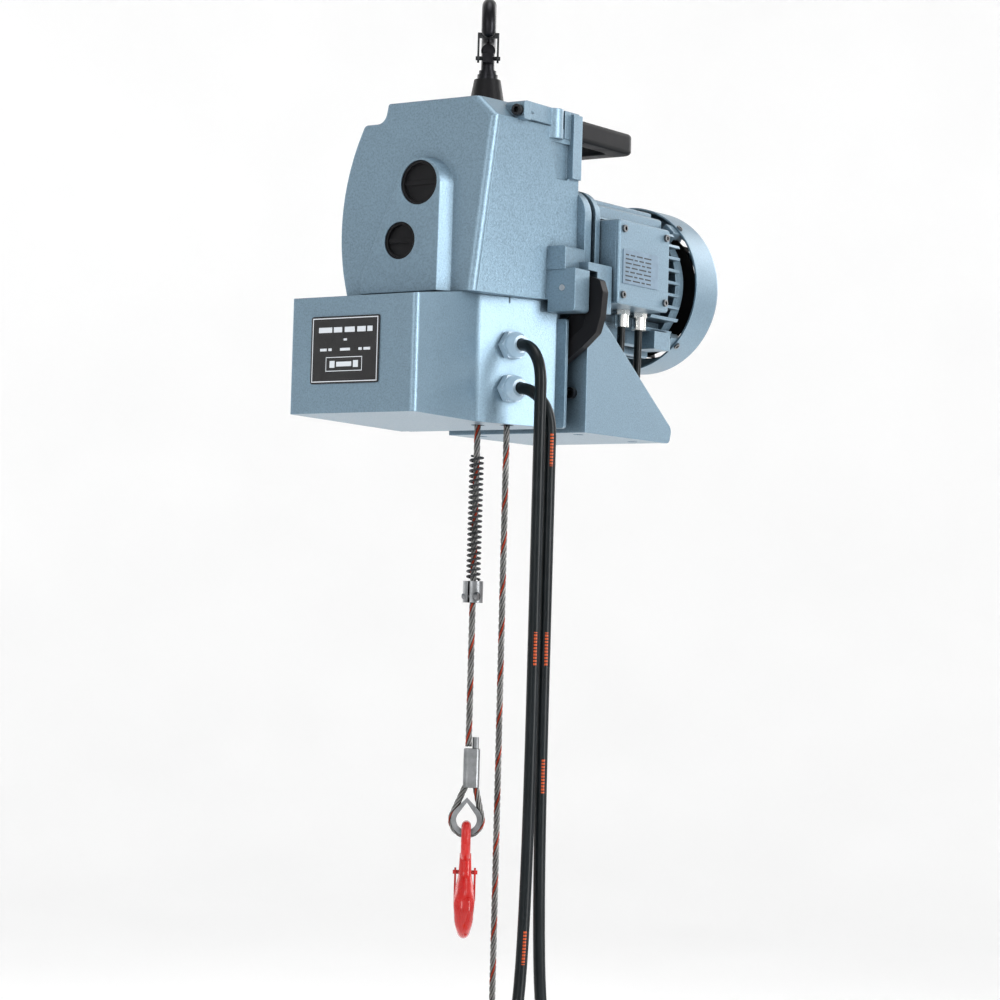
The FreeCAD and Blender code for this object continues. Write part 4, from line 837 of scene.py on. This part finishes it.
def add_lug(verts, faces):
    """The lug that takes the latch's pin."""
    rows = [(y, LUG_HEIGHT) for y in (0.5, 3.0, 8.5, 11.5, 12.5)]
    sizes = [(4.9, 4.4), (5.0, 4.5), (5.0, 4.5), (4.9, 4.4), (4.0, 3.6)]
    start = len(verts)
    verts += plane_rings(rows, sizes, 0.4)
    faces += tube_faces(start, len(rows), RING_SIDES)


hook_verts, hook_faces = [], []
for add in (add_bowl, add_link, add_lug):
    add(hook_verts, hook_faces)
hook = mesh_object("forged_hook", hook_verts, hook_faces, [MAT["red_paint"]])
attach(hook, "lower_hook")
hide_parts("load_hook")

# ---- edges and smoothing of the carried-over CAD nodes ----
for name, width in (("control_box", 0.0011), ("foot", 0.0008), ("box_back", 0.0006),
                    ("lever_bracket", 0.0012), ("terminal_box", 0.0008), ("release_lever", 0.0010),
                    ("nameplate", 0.0003), ("rating_plate", 0.0002), ("lever_pin", 0.0004)):
    bevel(NODES[name], width)
for name, obj in NODES.items():
    if not obj.hide_render:
        shade(obj)


# ---- light, floor and background ----
def area_light(name, location, target, size, energy):
    """A rectangular light that faces the target."""
    data = bpy.data.lights.new(name, "AREA")
    data.shape = "RECTANGLE"
    data.size, data.size_y = size
    data.energy = energy
    obj = bpy.data.objects.new(name, data)
    scene.collection.objects.link(obj)
    obj.location = location
    obj.rotation_euler = (Vector(target) - Vector(location)).to_track_quat("-Z", "Y").to_euler()


area_light("key", (3.4, 0.15, 0.1), (0, 0, -0.35), (1.0, 2.6), 110.0)
area_light("front", (0.9, -3.6, 0.6), (0, 0, -0.4), (0.7, 2.2), 34.0)
area_light("top", (0.2, 0.0, 2.4), (0, 0, -0.3), (1.6, 1.6), 30.0)
area_light("rear", (0.5, 3.2, 0.8), (0, 0, -0.3), (1.6, 1.6), 30.0)
area_light("left", (-3.2, 0.2, 0.4), (0, 0, -0.4), (1.2, 2.0), 22.0)

world = bpy.data.worlds.new("studio")
scene.world = world
world.use_nodes = True
world.node_tree.nodes["Background"].inputs["Color"].default_value = WHITE
world.node_tree.nodes["Background"].inputs["Strength"].default_value = 0.6


FLOOR_LEVEL = -1.42
FLAT_R, SWEEP_R, WALL_HEIGHT = 5.5, 2.5, 10.0


def floor():
    """Round pale floor that curves up into a backdrop all round."""
    profile = [(0.3, 0.0), (2.0, 0.0), (FLAT_R, 0.0)]
    for k in range(1, 13):
        a = math.radians(90.0 * k / 12)
        profile.append((FLAT_R + SWEEP_R * math.sin(a), SWEEP_R - SWEEP_R * math.cos(a)))
    profile.append((FLAT_R + SWEEP_R, WALL_HEIGHT))
    around = 96
    verts, faces = [Vector((0, 0, FLOOR_LEVEL))], []
    for r, up in profile:
        for k in range(around):
            a = 2.0 * math.pi * k / around
            verts.append(Vector((r * math.cos(a), r * math.sin(a), FLOOR_LEVEL + up)))
    for k in range(around):
        faces.append((0, 1 + k, 1 + (k + 1) % around))
    for row in range(len(profile) - 1):
        a, b = 1 + row * around, 1 + (row + 1) * around
        for k in range(around):
            n = (k + 1) % around
            faces.append((a + k, b + k, b + n, a + n))
    material, tree, shader = new_material("pale_floor")
    color = ramp(tree, noise(tree, 2.0, 3.0), 0.3, 0.7, grey(0.90), grey(0.93))
    tree.links.new(color, shader.inputs["Base Color"])
    shader.inputs["Roughness"].default_value = 0.8
    shader.inputs["Emission Color"].default_value = WHITE
    shader.inputs["Emission Strength"].default_value = 0.12
    obj = mesh_object("floor", verts, faces, [material])


floor()
scene.view_settings.view_transform = "Standard"
scene.view_settings.look = "None"
